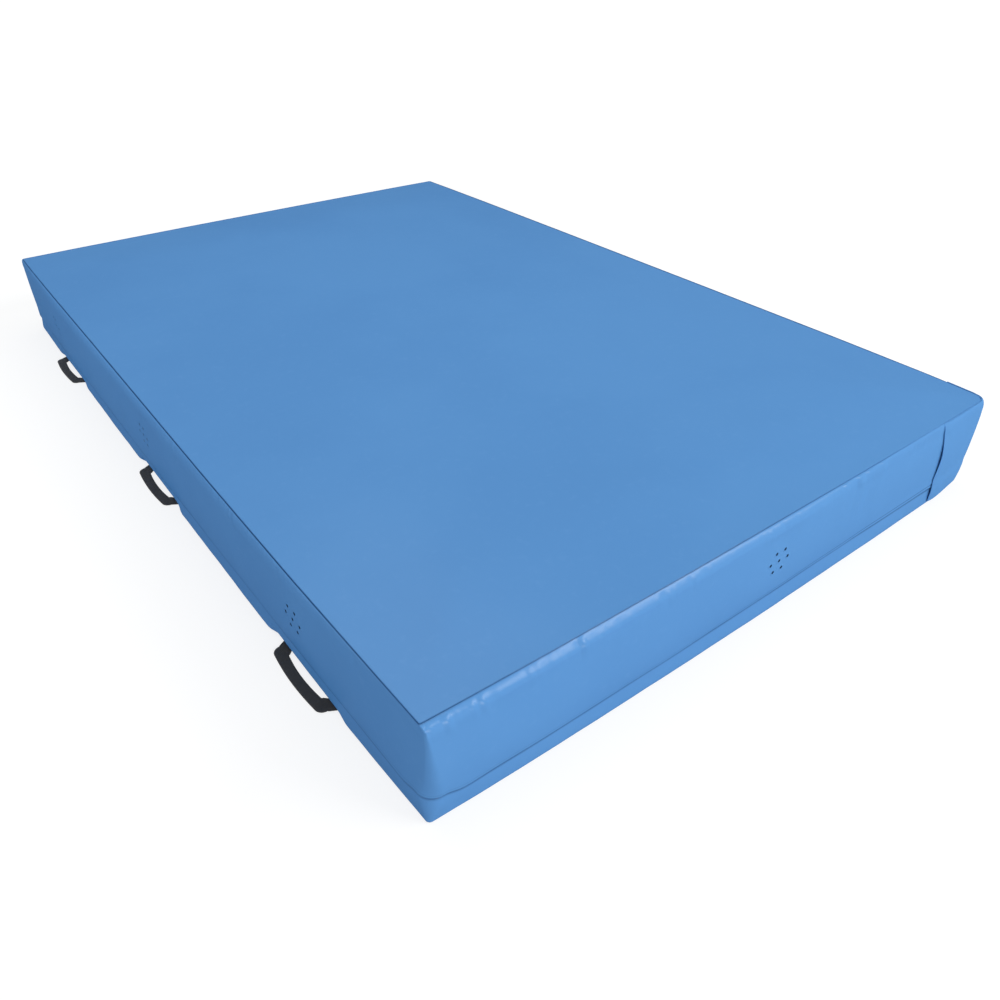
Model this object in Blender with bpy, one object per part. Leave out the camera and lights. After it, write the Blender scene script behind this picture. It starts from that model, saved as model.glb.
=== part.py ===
"""Soft landing mat: a foam block in a sewn and zipped cover, with webbing carrying loops.

Metres, +Z up. X runs along the short sides, Y along the long sides, and the floor is z = 0.
The front side faces -Y, and its cover flap is at the +X end.
"""

from math import cos, pi, radians, sin

import bmesh
import bpy
from mathutils import Matrix, Vector
from mathutils.geometry import interpolate_bezier

# Foam block and cover
LENGTH = 3.000
WIDTH = 2.000
HEIGHT = 0.300
CORNER_RADIUS = 0.020
CORNER_STEPS = 5
COVER = 0.001
GAP = 0.0003
CROWN = 0.012
CROWN_REACH = 0.350
CROWN_LOOPS = 5
CROWN_SPACING = 1.6
SEAM_INSET = 0.012
BULGE_PULL = 0.020
BULGE_START = 0.4
WALL_ROWS = 10
FOAM_EASE = 0.0026
FOAM_LOWER_INSET = 0.006
FOAM_EDGE = 0.010

# Hem, zip and lower strip
HEM_HEIGHT = 0.064
HEM_STAND = 0.0075
STRIP_LAP = 0.006
STRIP_ROWS = 6
STRIP_PULL = 0.013
STRIP_BELLY = 0.35
STRIP_STRAIGHT = 0.70
STRIP_TUCK = 0.003
TAPE = 0.0007
TAPE_WIDTH = 0.026
TAPE_SEWN = 0.010
TOOTH_WIDTH = 0.003
TOOTH_DEPTH = 0.0026
TEETH_GAP = 0.0012
ZIP_RISE = 0.0104
ZIP_END_MARGIN = 0.045
STOP_LENGTH = 0.006

# Slider and pull tab
SLIDER_LENGTH = 0.022
SLIDER_WIDTH = 0.016
SLIDER_PLATE = 0.0012
SLIDER_WEB = 0.0006
SLIDER_NOSE = 0.0112
SLIDER_SHOULDER = 0.0022
WEB_BACK = 0.0033
WEB_FRONT = 0.0099
STUD_RADIUS = 0.0013
STUD_HEAD_RADIUS = 0.0026
STUD_HEAD = 0.0006
STUD_SIDES = 12
PULL_LENGTH = 0.024
PULL_WIDTH = 0.009
PULL_THICKNESS = 0.0012
PULL_PLAY = 0.0006

# Corner flap with its hook and loop strips
FLAP_WIDTH = 0.205
FLAP_TOP_MARGIN = 0.030
FLAP_FLOOR_GAP = 0.012
FLAP_RAMP = 0.030
FLAP_GAPE = 0.005
FLAP_LIP = 0.012
PANEL_RETURN = 0.120
FASTENER = 0.0012
FASTENER_WIDTH = 0.025
FASTENER_END_MARGIN = 0.030

# Vents
VENT_HOLE_RADIUS = 0.0055
VENT_RING_RADIUS = 0.033
VENT_HEIGHT = 0.188
VENT_SIDES = 8
MESH_THICKNESS = 0.0006
MESH_MARGIN = 0.021

# Carrying loops
LOOP_PITCH = 1.000
LOOP_SPAN = 0.275
LOOP_REACH = 0.046
LOOP_BAND = 0.028
LOOP_LEG = 0.043
LOOP_BOW = 0.006
LOOP_TAPER = 0.012
LOOP_SLANT = 10
LOOP_CORNER = 0.022
LOOP_INNER_CORNER = 0.006
LOOP_THICKNESS = 0.0024
LEG_PLAY = 0.0006
HINGE_STAND = 0.0070
ANCHOR_DEPTH = 0.045
ARC_STEPS = 5
CROOK_STEPS = 2
END_FLAT = 0.00012
END_STEPS = 3
END_PROFILE = 0.5

CUTTER_REACH = 0.050
WELD = 0.00002
SHARP_ANGLE = 40

# Colours as linear red, green, blue, then roughness and metallic
FINISHES = {
    "cover_blue": ((0.114, 0.283, 0.597), 0.42, 0.0),
    "webbing_black": ((0.012, 0.012, 0.013), 0.80, 0.0),
    "foam": ((0.640, 0.610, 0.500), 0.95, 0.0),
    "zip_blue": ((0.040, 0.110, 0.280), 0.70, 0.0),
    "zip_metal": ((0.420, 0.420, 0.430), 0.35, 1.0),
    "hook_loop": ((0.050, 0.130, 0.320), 0.95, 0.0),
    "vent_mesh": ((0.020, 0.024, 0.030), 0.85, 0.0),
}

SIDES = ("front", "right", "rear", "left")


def start_scene():
    for old in list(bpy.data.objects):
        bpy.data.objects.remove(old, do_unlink=True)
    made = {}
    for name in ("landing_mat", "cutters"):
        made[name] = bpy.data.collections.new(name)
        bpy.context.scene.collection.children.link(made[name])
    return made["landing_mat"], made["cutters"]


def make_finishes():
    made = {}
    for name, (colour, roughness, metallic) in FINISHES.items():
        material = bpy.data.materials.new(name)
        material.use_nodes = True
        shader = material.node_tree.nodes["Principled BSDF"]
        shader.inputs["Base Color"].default_value = (*colour, 1.0)
        shader.inputs["Roughness"].default_value = roughness
        shader.inputs["Metallic"].default_value = metallic
        made[name] = material
    return made


def finish_piece(name, bm, finish, origin=(0.0, 0.0, 0.0), smooth=None):
    """Turns a bmesh in world space into a part whose origin is at the given point."""
    bmesh.ops.recalc_face_normals(bm, faces=bm.faces)
    bmesh.ops.translate(bm, verts=bm.verts, vec=-Vector(origin))
    mesh = bpy.data.meshes.new(name)
    bm.to_mesh(mesh)
    bm.free()
    mesh.materials.append(finishes[finish])
    if smooth is not None:
        mesh.shade_smooth()
        mesh.set_sharp_from_angle(angle=radians(smooth))
    piece = bpy.data.objects.new(name, mesh)
    piece.location = origin
    parts.objects.link(piece)
    return piece


def finish_cutter(name, bm):
    bmesh.ops.recalc_face_normals(bm, faces=bm.faces)
    mesh = bpy.data.meshes.new(name)
    bm.to_mesh(mesh)
    bm.free()
    cutter = bpy.data.objects.new(name, mesh)
    cutter.hide_render = True
    cutter.display_type = "WIRE"
    cutters.objects.link(cutter)
    return cutter


def combine(piece, other, operation):
    change = piece.modifiers.new(f"{operation.lower()} {other.name}", "BOOLEAN")
    change.operation = operation
    change.solver = "EXACT"
    change.object = other


# Places on the mat

def side_length(side):
    return WIDTH if side in ("front", "rear") else LENGTH


def side_depth(side):
    return (LENGTH if side in ("front", "rear") else WIDTH) / 2


def straight_half(side):
    return side_length(side) / 2 - CORNER_RADIUS


def side_turn(side):
    return Matrix.Rotation(SIDES.index(side) * pi / 2, 4, "Z")


def side_point(side, along, stand, height):
    """A point at a distance along a side, counted from its middle, standing out from its plane."""
    return side_turn(side) @ Vector((along, -side_depth(side) - stand, height))


def corner_centre(side):
    """The centre of the corner arc that follows a side."""
    return side_point(side, straight_half(side), -CORNER_RADIUS, 0.0)


def outline(stand, height):
    """The rounded rectangle at a distance outside the side planes, counter-clockwise."""
    radius = max(CORNER_RADIUS + stand, CORNER_RADIUS / 2)
    points = []
    for side in SIDES:
        centre = side_point(side, side_length(side) / 2 + stand - radius, stand - radius, height)
        for step in range(CORNER_STEPS + 1):
            turn = SIDES.index(side) * pi / 2 - pi / 2 + step * pi / 2 / CORNER_STEPS
            points.append(centre + radius * Vector((cos(turn), sin(turn), 0.0)))
    return points


# Section curves, as (stand, height) pairs

def bezier(points, rows):
    knots = [Vector((stand, height, 0.0)) for stand, height in points]
    curve = interpolate_bezier(knots[0], knots[1], knots[2], knots[3], rows + 1)
    return [Vector((point.x, point.y)) for point in curve]


def wall_curve():
    """The bulged outer face of the side band, from its hem up to the top seam."""
    rise = HEIGHT - HEM_HEIGHT
    return bezier(
        (
            (HEM_STAND, HEM_HEIGHT),
            (BULGE_PULL, HEM_HEIGHT + BULGE_START * rise),
            (BULGE_PULL, HEIGHT),
            (-SEAM_INSET, HEIGHT),
        ),
        WALL_ROWS,
    )


def strip_curve():
    """The outer face of the lower strip, from its seam at the floor up behind the hem."""
    top = strip_top()
    return bezier(
        (
            (-STRIP_TUCK, COVER + GAP),
            (STRIP_PULL, STRIP_BELLY * top),
            (strip_seat(), STRIP_STRAIGHT * top),
            (strip_seat(), top),
        ),
        STRIP_ROWS,
    )


def strip_top():
    return HEM_HEIGHT + STRIP_LAP


def strip_seat():
    """How far the strip's upper edge stands out, over the zip tape that is sewn behind it."""
    return TAPE / 2 + GAP + COVER


def shifted(curve, distance):
    """The curve moved out of the mat, square to itself. The curve runs upwards."""
    moved = []
    for index, point in enumerate(curve):
        before = curve[max(index - 1, 0)]
        after = curve[min(index + 1, len(curve) - 1)]
        run = (after - before).normalized()
        moved.append(point + distance * Vector((run.y, -run.x)))
    return moved


def sheet_section(curve, thickness):
    """A closed section with the curve as its outer face."""
    return curve + list(reversed(shifted(curve, -thickness)))


def part_of(curve, low, high):
    """The stretch of a rising curve between two heights, cut at those heights."""
    kept = []
    for first, last in zip(curve, curve[1:]):
        for height in (low, high):
            if first.y < height < last.y:
                kept.append(first.lerp(last, (height - first.y) / (last.y - first.y)))
        if low <= last.y <= high:
            kept.append(last)
    if low <= curve[0].y <= high:
        kept.insert(0, curve[0])
    return sorted(kept, key=lambda point: point.y)


# Ways to make a solid

def sweep(section, side, start, moves):
    """Carries a closed section along the sides. A move is a distance along, or None for a corner."""
    bm = bmesh.new()
    verts = [bm.verts.new(side_point(side, start, stand, height)) for stand, height in section]
    ring = [bm.edges.new((a, b)) for a, b in zip(verts, verts[1:] + verts[:1])]
    first, heading = list(ring), SIDES.index(side)
    for move in moves:
        turning = move is None
        here = SIDES[heading % 4]
        step = Vector((0.0, 0.0, 0.0)) if turning else side_turn(here) @ Vector((move, 0.0, 0.0))
        made = bmesh.ops.spin(
            bm,
            geom=ring,
            cent=corner_centre(here),
            axis=(0.0, 0.0, 1.0),
            dvec=step,
            angle=pi / 2 if turning else 0.0,
            steps=CORNER_STEPS if turning else 1,
        )
        ring = [item for item in made["geom_last"] if isinstance(item, bmesh.types.BMEdge)]
        heading += turning
    return bm, first, ring


def swept_ring(section):
    moves = []
    for side in SIDES:
        moves += [2 * straight_half(side), None]
    bm, _, _ = sweep(section, "front", -straight_half("front"), moves)
    bmesh.ops.remove_doubles(bm, verts=bm.verts, dist=WELD)
    return bm


def swept_run(section, side, start, moves):
    bm, first, last = sweep(section, side, start, moves)
    for ring in (first, last):
        bmesh.ops.contextual_create(bm, geom=ring)
    return bm


def loft(loops):
    """A closed solid through loops of equal count, capped at both ends."""
    bm = bmesh.new()
    rows = [[bm.verts.new(point) for point in loop] for loop in loops]
    for low, high in zip(rows, rows[1:]):
        for i in range(len(low)):
            j = (i + 1) % len(low)
            bm.faces.new((low[i], low[j], high[j], high[i]))
    bm.faces.new(rows[0])
    bm.faces.new(rows[-1])
    return bm


def add_box(bm, low, high):
    made = bmesh.ops.create_cube(bm, size=1.0)["verts"]
    bmesh.ops.scale(bm, verts=made, vec=Vector(high) - Vector(low))
    bmesh.ops.translate(bm, verts=made, vec=(Vector(low) + Vector(high)) / 2)
    return made


def add_rod(bm, radius, start, end, sides):
    made = bmesh.ops.create_cone(
        bm,
        cap_ends=True,
        segments=sides,
        radius1=radius,
        radius2=radius,
        depth=(Vector(end) - Vector(start)).length,
    )["verts"]
    turn = (Vector(end) - Vector(start)).to_track_quat("Z", "Y").to_matrix()
    bmesh.ops.rotate(bm, verts=made, cent=(0.0, 0.0, 0.0), matrix=turn)
    bmesh.ops.translate(bm, verts=made, vec=(Vector(start) + Vector(end)) / 2)
    return made


def arc(centre, radius, start, end, steps=ARC_STEPS):
    """Points on a flat arc, between two angles in degrees."""
    points = []
    for step in range(steps + 1):
        turn = radians(start + (end - start) * step / steps)
        points.append(Vector((centre[0] + radius * cos(turn), centre[1] + radius * sin(turn))))
    return points


def plate(points, thickness, holes=()):
    """A flat outline, with holes, as a closed mesh that is centred on z = 0."""
    curve = bpy.data.curves.new("outline", "CURVE")
    curve.dimensions = "2D"
    curve.fill_mode = "BOTH"
    curve.extrude = thickness / 2
    for ring in (points, *holes):
        spline = curve.splines.new("POLY")
        spline.points.add(len(ring) - 1)
        for knot, point in zip(spline.points, ring):
            knot.co = (point[0], point[1], 0.0, 1.0)
        spline.use_cyclic_u = True
    holder = bpy.data.objects.new("outline", curve)
    cutters.objects.link(holder)
    graph = bpy.context.evaluated_depsgraph_get()
    mesh = bpy.data.meshes.new_from_object(holder.evaluated_get(graph))
    bm = bmesh.new()
    bm.from_mesh(mesh)
    bmesh.ops.remove_doubles(bm, verts=bm.verts, dist=WELD)
    bpy.data.objects.remove(holder)
    bpy.data.curves.remove(curve)
    bpy.data.meshes.remove(mesh)
    return bm


# Foam and cover

def seam_edge():
    """The innermost point of the band's sewn edge, where the top sheet begins."""
    return min(point.x for point in sheet_section(wall_curve(), COVER))


def crown_loops(drop):
    """Outlines of the crowned top, from the seam inwards, lowered by a distance."""
    loops = []
    for step in range(CROWN_LOOPS + 1):
        share = (step / CROWN_LOOPS) ** CROWN_SPACING
        rise = CROWN * (1 - (1 - share) ** 2)
        loops.append(outline(seam_edge() - GAP - share * CROWN_REACH, HEIGHT + rise - drop))
    return loops


def make_foam_core():
    wall = shifted(wall_curve(), -FOAM_EASE)
    zip_top = zip_height() + TEETH_GAP / 2 + TOOTH_WIDTH + TAPE_WIDTH + TAPE_SEWN
    rows = [Vector((-FOAM_LOWER_INSET - FOAM_EDGE, COVER + GAP))]
    rows.append(Vector((-FOAM_LOWER_INSET, COVER + GAP + FOAM_EDGE)))
    rows.append(Vector((-FOAM_LOWER_INSET, zip_top)))
    rows += [point for point in wall if point.y > zip_top + FOAM_EDGE and point.x > -SEAM_INSET / 2]
    loops = [outline(row.x, row.y) for row in rows] + crown_loops(FOAM_EASE)
    foam = finish_piece("foam_core", loft(loops), "foam", smooth=SHARP_ANGLE)
    pockets = bmesh.new()
    for side in ("left", "right"):
        for along in loop_places():
            seam = -side_depth(side) - anchor_seam()
            low = (along - LOOP_SPAN / 2 - LEG_PLAY, seam - CUTTER_REACH, -CUTTER_REACH)
            high = (along + LOOP_SPAN / 2 + LEG_PLAY, seam + ANCHOR_DEPTH + LEG_PLAY, leg_top() + LEG_PLAY)
            box = add_box(pockets, low, high)
            bmesh.ops.transform(pockets, verts=box, matrix=side_turn(side))
    combine(foam, finish_cutter("anchor_pockets", pockets), "DIFFERENCE")


def make_top_sheet():
    outer = crown_loops(0.0)
    inner = crown_loops(COVER)
    finish_piece("top_sheet", loft(list(reversed(inner)) + outer), "cover_blue", smooth=SHARP_ANGLE)


def make_side_band():
    wall = swept_ring(sheet_section(wall_curve(), COVER))
    band = finish_piece("side_band", wall, "cover_blue", smooth=SHARP_ANGLE)
    holes = bmesh.new()
    for side, along in vent_places():
        for offset, rise in vent_pattern():
            add_rod(
                holes,
                VENT_HOLE_RADIUS,
                side_point(side, along + offset, -CUTTER_REACH, VENT_HEIGHT + rise),
                side_point(side, along + offset, CUTTER_REACH, VENT_HEIGHT + rise),
                VENT_SIDES,
            )
    combine(band, finish_cutter("vent_holes", holes), "DIFFERENCE")


def make_lower_strip():
    wall = swept_ring(sheet_section(strip_curve(), COVER))
    strip = finish_piece("lower_strip", wall, "cover_blue", smooth=SHARP_ANGLE)
    slots = bmesh.new()
    reach = LOOP_LEG / 2 + LEG_PLAY
    for side in ("left", "right"):
        for along in loop_places():
            for hand in (-1, 1):
                middle = along + hand * (LOOP_SPAN - LOOP_LEG) / 2
                plane = -side_depth(side)
                low = (middle - reach, plane - CUTTER_REACH, -CUTTER_REACH)
                high = (middle + reach, plane + CUTTER_REACH, leg_top() + LEG_PLAY)
                box = add_box(slots, low, high)
                bmesh.ops.transform(slots, verts=box, matrix=side_turn(side))
    combine(strip, finish_cutter("leg_slots", slots), "DIFFERENCE")


def make_base_sheet():
    points = outline(-STRIP_TUCK, 0.0)
    base = plate(points, COVER)
    bmesh.ops.translate(base, verts=base.verts, vec=(0.0, 0.0, COVER / 2))
    finish_piece("base_sheet", base, "cover_blue")


# Vents

def vent_places():
    """Side and place along it of each cluster of holes: over each loop, and in each end's middle."""
    places = [("front", 0.0), ("rear", 0.0)]
    for side in ("left", "right"):
        places += [(side, along) for along in loop_places()]
    return places


def vent_pattern():
    """One hole in the middle and six round it."""
    spots = [(0.0, 0.0)]
    for step in range(6):
        turn = step * pi / 3
        spots.append((VENT_RING_RADIUS * cos(turn), VENT_RING_RADIUS * sin(turn)))
    return spots


def make_vent_meshes():
    reach = VENT_RING_RADIUS + MESH_MARGIN
    patch = part_of(shifted(wall_curve(), -COVER - GAP), VENT_HEIGHT - reach, VENT_HEIGHT + reach)
    section = sheet_section(patch, MESH_THICKNESS)
    for side, along in vent_places():
        name = f"vent_mesh_{side}"
        if side in ("left", "right"):
            name += f"_{place_name(side, along)}"
        finish_piece(name, swept_run(section, side, along - reach, [2 * reach]), "vent_mesh")


# Zip

def zip_height():
    """The line between the two rows of teeth, just above the strip and behind the hem."""
    return strip_top() + ZIP_RISE


def zip_end():
    """Where the teeth end on the front, under the corner flap."""
    return straight_half("front") - ZIP_END_MARGIN


def upper_tape_curve():
    """The upper tape stands up from its teeth, then leans out to the band that it is sewn to."""
    seat = shifted(wall_curve(), -COVER - GAP)
    foot = zip_height() + TEETH_GAP / 2 + TOOTH_WIDTH + GAP
    bend = zip_height() + SLIDER_WIDTH / 2 + GAP
    sewn_top = foot + TAPE_WIDTH
    sewn = part_of(seat, sewn_top - TAPE_SEWN, sewn_top)
    return [Vector((TAPE / 2, foot)), Vector((TAPE / 2, bend))] + sewn


def lower_tape_curve():
    top = zip_height() - TEETH_GAP / 2 - TOOTH_WIDTH - GAP
    return [Vector((TAPE / 2, top - TAPE_WIDTH)), Vector((TAPE / 2, top))]


def zip_start():
    """Where the teeth begin, at the rear end of the left side."""
    return -straight_half("left") + STOP_LENGTH + 2 * GAP


def zip_run(section):
    """The zip runs along the left side, round the near corner and along the front."""
    moves = [straight_half("left") - zip_start(), None, straight_half("front") + zip_end()]
    return swept_run(section, "left", zip_start(), moves)


def bar_section(stand, low, high, depth):
    return [
        Vector((stand + depth / 2, low)),
        Vector((stand + depth / 2, high)),
        Vector((stand - depth / 2, high)),
        Vector((stand - depth / 2, low)),
    ]


def make_zip():
    upper_low = zip_height() + TEETH_GAP / 2
    lower_high = zip_height() - TEETH_GAP / 2
    upper_teeth = bar_section(0.0, upper_low, upper_low + TOOTH_WIDTH, TOOTH_DEPTH)
    lower_teeth = bar_section(0.0, lower_high - TOOTH_WIDTH, lower_high, TOOTH_DEPTH)
    finish_piece("zip_tape_upper", zip_run(sheet_section(upper_tape_curve(), TAPE)), "zip_blue")
    finish_piece("zip_tape_lower", zip_run(sheet_section(lower_tape_curve(), TAPE)), "zip_blue")
    finish_piece("zip_teeth_upper", zip_run(upper_teeth), "zip_blue")
    finish_piece("zip_teeth_lower", zip_run(lower_teeth), "zip_blue")
    stop = bar_section(0.0, lower_high - TOOTH_WIDTH, upper_low + TOOTH_WIDTH, TOOTH_DEPTH)
    front_stop = swept_run(stop, "front", zip_end() + GAP, [STOP_LENGTH])
    finish_piece("zip_stop_front", front_stop, "zip_metal")
    rear_stop = swept_run(stop, "left", zip_start() - GAP - STOP_LENGTH, [STOP_LENGTH])
    finish_piece("zip_stop_rear", rear_stop, "zip_metal")


def make_seam_tape():
    """Where the zip doesn't run, one tape joins the strip to the band."""
    section = sheet_section(lower_tape_curve()[:1] + upper_tape_curve()[1:], TAPE)
    start = zip_end() + STOP_LENGTH + 2 * GAP
    moves = [straight_half("front") - start, None, 2 * straight_half("right"), None]
    moves += [2 * straight_half("rear"), None]
    bm = swept_run(section, "front", start, moves)
    finish_piece("seam_tape", bm, "zip_blue")


def slider_place():
    """The parked slider's middle, on the line of the teeth."""
    return side_point("front", zip_end() - SLIDER_LENGTH / 2, 0.0, zip_height())


def slider_plate_stand():
    return TOOTH_DEPTH / 2 + GAP


def make_slider():
    """Two plates joined by a thin web between the teeth, with a headed stud for the pull tab."""
    half, wide, narrow = SLIDER_LENGTH / 2, SLIDER_WIDTH / 2, SLIDER_NOSE / 2
    upper = [Vector((half, wide)), Vector((SLIDER_SHOULDER, wide)), Vector((-half, narrow))]
    lower = [Vector((point.x, -point.y)) for point in reversed(upper)]
    body = bmesh.new()
    near = slider_plate_stand()
    for stand in (near + SLIDER_PLATE / 2, -near - SLIDER_PLATE / 2):
        sheet = plate(upper + lower, SLIDER_PLATE)
        bmesh.ops.rotate(sheet, verts=sheet.verts, cent=(0, 0, 0), matrix=Matrix.Rotation(pi / 2, 3, "X"))
        bmesh.ops.translate(sheet, verts=sheet.verts, vec=(0.0, -stand, 0.0))
        holder = bpy.data.meshes.new("plate")
        sheet.to_mesh(holder)
        sheet.free()
        body.from_mesh(holder)
        bpy.data.meshes.remove(holder)
    bmesh.ops.translate(body, verts=body.verts, vec=slider_place())
    slider = finish_piece("zip_slider", body, "zip_metal", origin=slider_place())
    joiner = bmesh.new()
    outer = near + SLIDER_PLATE
    add_box(
        joiner,
        slider_place() + Vector((WEB_BACK, -outer + SLIDER_PLATE / 2, -SLIDER_WEB / 2)),
        slider_place() + Vector((WEB_FRONT, outer - SLIDER_PLATE / 2, SLIDER_WEB / 2)),
    )
    combine(slider, finish_cutter("slider_web", joiner), "UNION")
    stud = bmesh.new()
    neck = pull_stand() + PULL_THICKNESS / 2 + PULL_PLAY
    add_rod(
        stud,
        STUD_RADIUS,
        slider_place() - Vector((0.0, outer - SLIDER_PLATE / 2, 0.0)),
        slider_place() - Vector((0.0, neck + STUD_HEAD / 2, 0.0)),
        STUD_SIDES,
    )
    combine(slider, finish_cutter("slider_stud", stud), "UNION")
    head = bmesh.new()
    add_rod(
        head,
        STUD_HEAD_RADIUS,
        slider_place() - Vector((0.0, neck, 0.0)),
        slider_place() - Vector((0.0, neck + STUD_HEAD, 0.0)),
        STUD_SIDES,
    )
    combine(slider, finish_cutter("slider_stud_head", head), "UNION")


def pull_stand():
    """How far the middle of the pull tab stands out from the line of the teeth."""
    return slider_plate_stand() + SLIDER_PLATE + PULL_PLAY + PULL_THICKNESS / 2


def make_pull():
    """A tab that hangs from the stud, with round ends and an eye."""
    half = PULL_WIDTH / 2
    shape = arc((0.0, 0.0), half, 0, 180, 2 * ARC_STEPS)
    shape += arc((0.0, -PULL_LENGTH + half), half, 180, 360, 2 * ARC_STEPS)
    eye = arc((0.0, 0.0), STUD_RADIUS + PULL_PLAY, 0, 360, STUD_SIDES)[:-1]
    tab = plate(shape, PULL_THICKNESS, [eye])
    bmesh.ops.rotate(tab, verts=tab.verts, cent=(0, 0, 0), matrix=Matrix.Rotation(pi / 2, 3, "X"))
    pivot = slider_place() - Vector((0.0, pull_stand(), 0.0))
    bmesh.ops.translate(tab, verts=tab.verts, vec=pivot)
    finish_piece("zip_pull", tab, "zip_metal", origin=pivot)


# Corner flap

def fastener_stack():
    """How far the flap's inner face stands off the band over the hook and loop strips."""
    return 2 * FASTENER + 3 * GAP


def flap_curve(lift):
    """The flap's inner face: over the band, then straight down past the hem."""
    over_band = part_of(wall_curve(), HEM_HEIGHT, HEIGHT - FLAP_TOP_MARGIN)
    over_band = shifted(over_band, lift)
    return [Vector((over_band[0].x, FLAP_FLOOR_GAP))] + over_band


def flap_section(lift):
    return sheet_section(shifted(flap_curve(lift), COVER), COVER)


def flap_hinge():
    """The foot of the flap's hinge line, just outside the bulge of the corner panel."""
    stand = max(point.x for point in flap_curve(GAP)) + COVER + GAP
    return side_point("front", straight_half("front"), stand, 0.0)


def make_corner_panel():
    """Sewn round the corner, and ends in the flap's hinge line."""
    bm = swept_run(flap_section(GAP), "front", straight_half("front"), [None, PANEL_RETURN])
    finish_piece("corner_panel", bm, "cover_blue", smooth=SHARP_ANGLE)


def make_corner_flap():
    """Leaves the corner close to the band, passes over the fastener and ends in a lip that gapes."""
    hinge = straight_half("front") - GAP
    free = hinge - FLAP_WIDTH
    stack = fastener_stack()
    stations = [
        (hinge, GAP),
        (hinge - FLAP_RAMP, stack),
        (free + FLAP_LIP, stack),
        (free, stack + FLAP_GAPE),
    ]
    loops = []
    for along, lift in stations:
        loops.append([side_point("front", along, stand, height) for stand, height in flap_section(lift)])
    finish_piece("corner_flap", loft(loops), "cover_blue", origin=flap_hinge(), smooth=SHARP_ANGLE)


def make_fastener():
    """The loop strip is sewn to the band and the hook strip to the flap, face to face."""
    low, high = HEM_HEIGHT + FASTENER_END_MARGIN, HEIGHT - FLAP_TOP_MARGIN - FASTENER_END_MARGIN
    seat = part_of(wall_curve(), low, high)
    start = straight_half("front") - GAP - FLAP_WIDTH + FLAP_LIP
    for name, lift, origin in (
        ("fastener_loop_strip", GAP, (0.0, 0.0, 0.0)),
        ("fastener_hook_strip", 2 * GAP + FASTENER, flap_hinge()),
    ):
        section = sheet_section(shifted(seat, lift + FASTENER), FASTENER)
        finish_piece(name, swept_run(section, "front", start, [FASTENER_WIDTH]), "hook_loop", origin=origin)


# Carrying loops

def loop_places():
    """Middles of the loops along a long side."""
    return (-LOOP_PITCH, 0.0, LOOP_PITCH)


def place_name(side, along):
    """Names a place on a long side by how it lies between the front and the rear."""
    y = side_point(side, along, 0.0, 0.0).y
    return "front" if y < -LOOP_PITCH / 2 else "rear" if y > LOOP_PITCH / 2 else "middle"


def leg_bottom():
    """The webbing lies on the base sheet."""
    return COVER + GAP


def leg_top():
    return leg_bottom() + LOOP_THICKNESS


def anchor_seam():
    """Where the sewn-in end passes under the strip, as a distance outside the side plane."""
    return -STRIP_TUCK - COVER


def anchor_outline():
    """The sewn-in end, seen like its loop: a strip inside the cover with two tongues out of the seam."""
    half, inner = LOOP_SPAN / 2, LOOP_SPAN / 2 - LOOP_LEG
    tip = LOOP_THICKNESS / 2 + GAP
    seam = HINGE_STAND - anchor_seam()
    back = seam + ANCHOR_DEPTH
    right = [(half, back), (half, tip), (inner, tip), (inner, seam)]
    left = [(-x, y) for x, y in reversed(right)]
    return [Vector(point) for point in right + left]


def loop_outline():
    """A flat U, seen from above, with its hinge line on y = 0 and its grip towards -y."""
    half, inner = LOOP_SPAN / 2, LOOP_SPAN / 2 - LOOP_LEG
    root = LOOP_THICKNESS / 2
    grip = LOOP_BAND - LOOP_REACH
    bend = Vector((half - LOOP_TAPER - LOOP_CORNER, LOOP_BOW + LOOP_CORNER - LOOP_REACH))
    crook = Vector((inner - LOOP_INNER_CORNER, grip + LOOP_INNER_CORNER))
    right = [Vector((inner, root)), Vector((half, root))]
    right += arc(bend, LOOP_CORNER, LOOP_SLANT, LOOP_SLANT - 90)
    right.append(Vector((0.0, -LOOP_REACH)))
    right = arc(crook, LOOP_INNER_CORNER, -90, 0, CROOK_STEPS) + right
    left = [Vector((-point.x, point.y)) for point in reversed(right[:-1])]
    return right + left


def round_leg_ends(strap):
    """Rounds the two ends that turn in the seam, so that they stay clear of the tongues."""
    root = LOOP_THICKNESS / 2
    ends = []
    for edge in strap.edges:
        level = all(abs(vert.co.y - root) < GAP for vert in edge.verts)
        if level and abs(edge.verts[0].co.z - edge.verts[1].co.z) < GAP:
            ends.append(edge)
    bmesh.ops.bevel(
        strap,
        geom=ends,
        offset=root - END_FLAT,
        segments=END_STEPS,
        profile=END_PROFILE,
        affect="EDGES",
        offset_type="OFFSET",
    )


def make_loops():
    for side in ("left", "right"):
        for along in loop_places():
            name = f"{side}_{place_name(side, along)}"
            hinge = side_point(side, along, HINGE_STAND, leg_bottom() + LOOP_THICKNESS / 2)
            place = Matrix.Translation(hinge) @ side_turn(side)
            strap = plate(loop_outline(), LOOP_THICKNESS)
            round_leg_ends(strap)
            bmesh.ops.transform(strap, verts=strap.verts, matrix=place)
            finish_piece(f"carry_loop_{name}", strap, "webbing_black", origin=hinge)
            anchor = plate(anchor_outline(), LOOP_THICKNESS)
            bmesh.ops.transform(anchor, verts=anchor.verts, matrix=place)
            finish_piece(f"loop_anchor_{name}", anchor, "webbing_black")


parts, cutters = start_scene()
finishes = make_finishes()
make_foam_core()
make_top_sheet()
make_side_band()
make_lower_strip()
make_base_sheet()
make_vent_meshes()
make_zip()
make_seam_tape()
make_slider()
make_pull()
make_corner_panel()
make_corner_flap()
make_fastener()
make_loops()
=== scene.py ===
import math
import bpy
import numpy as np
from mathutils import Matrix, Vector


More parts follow.
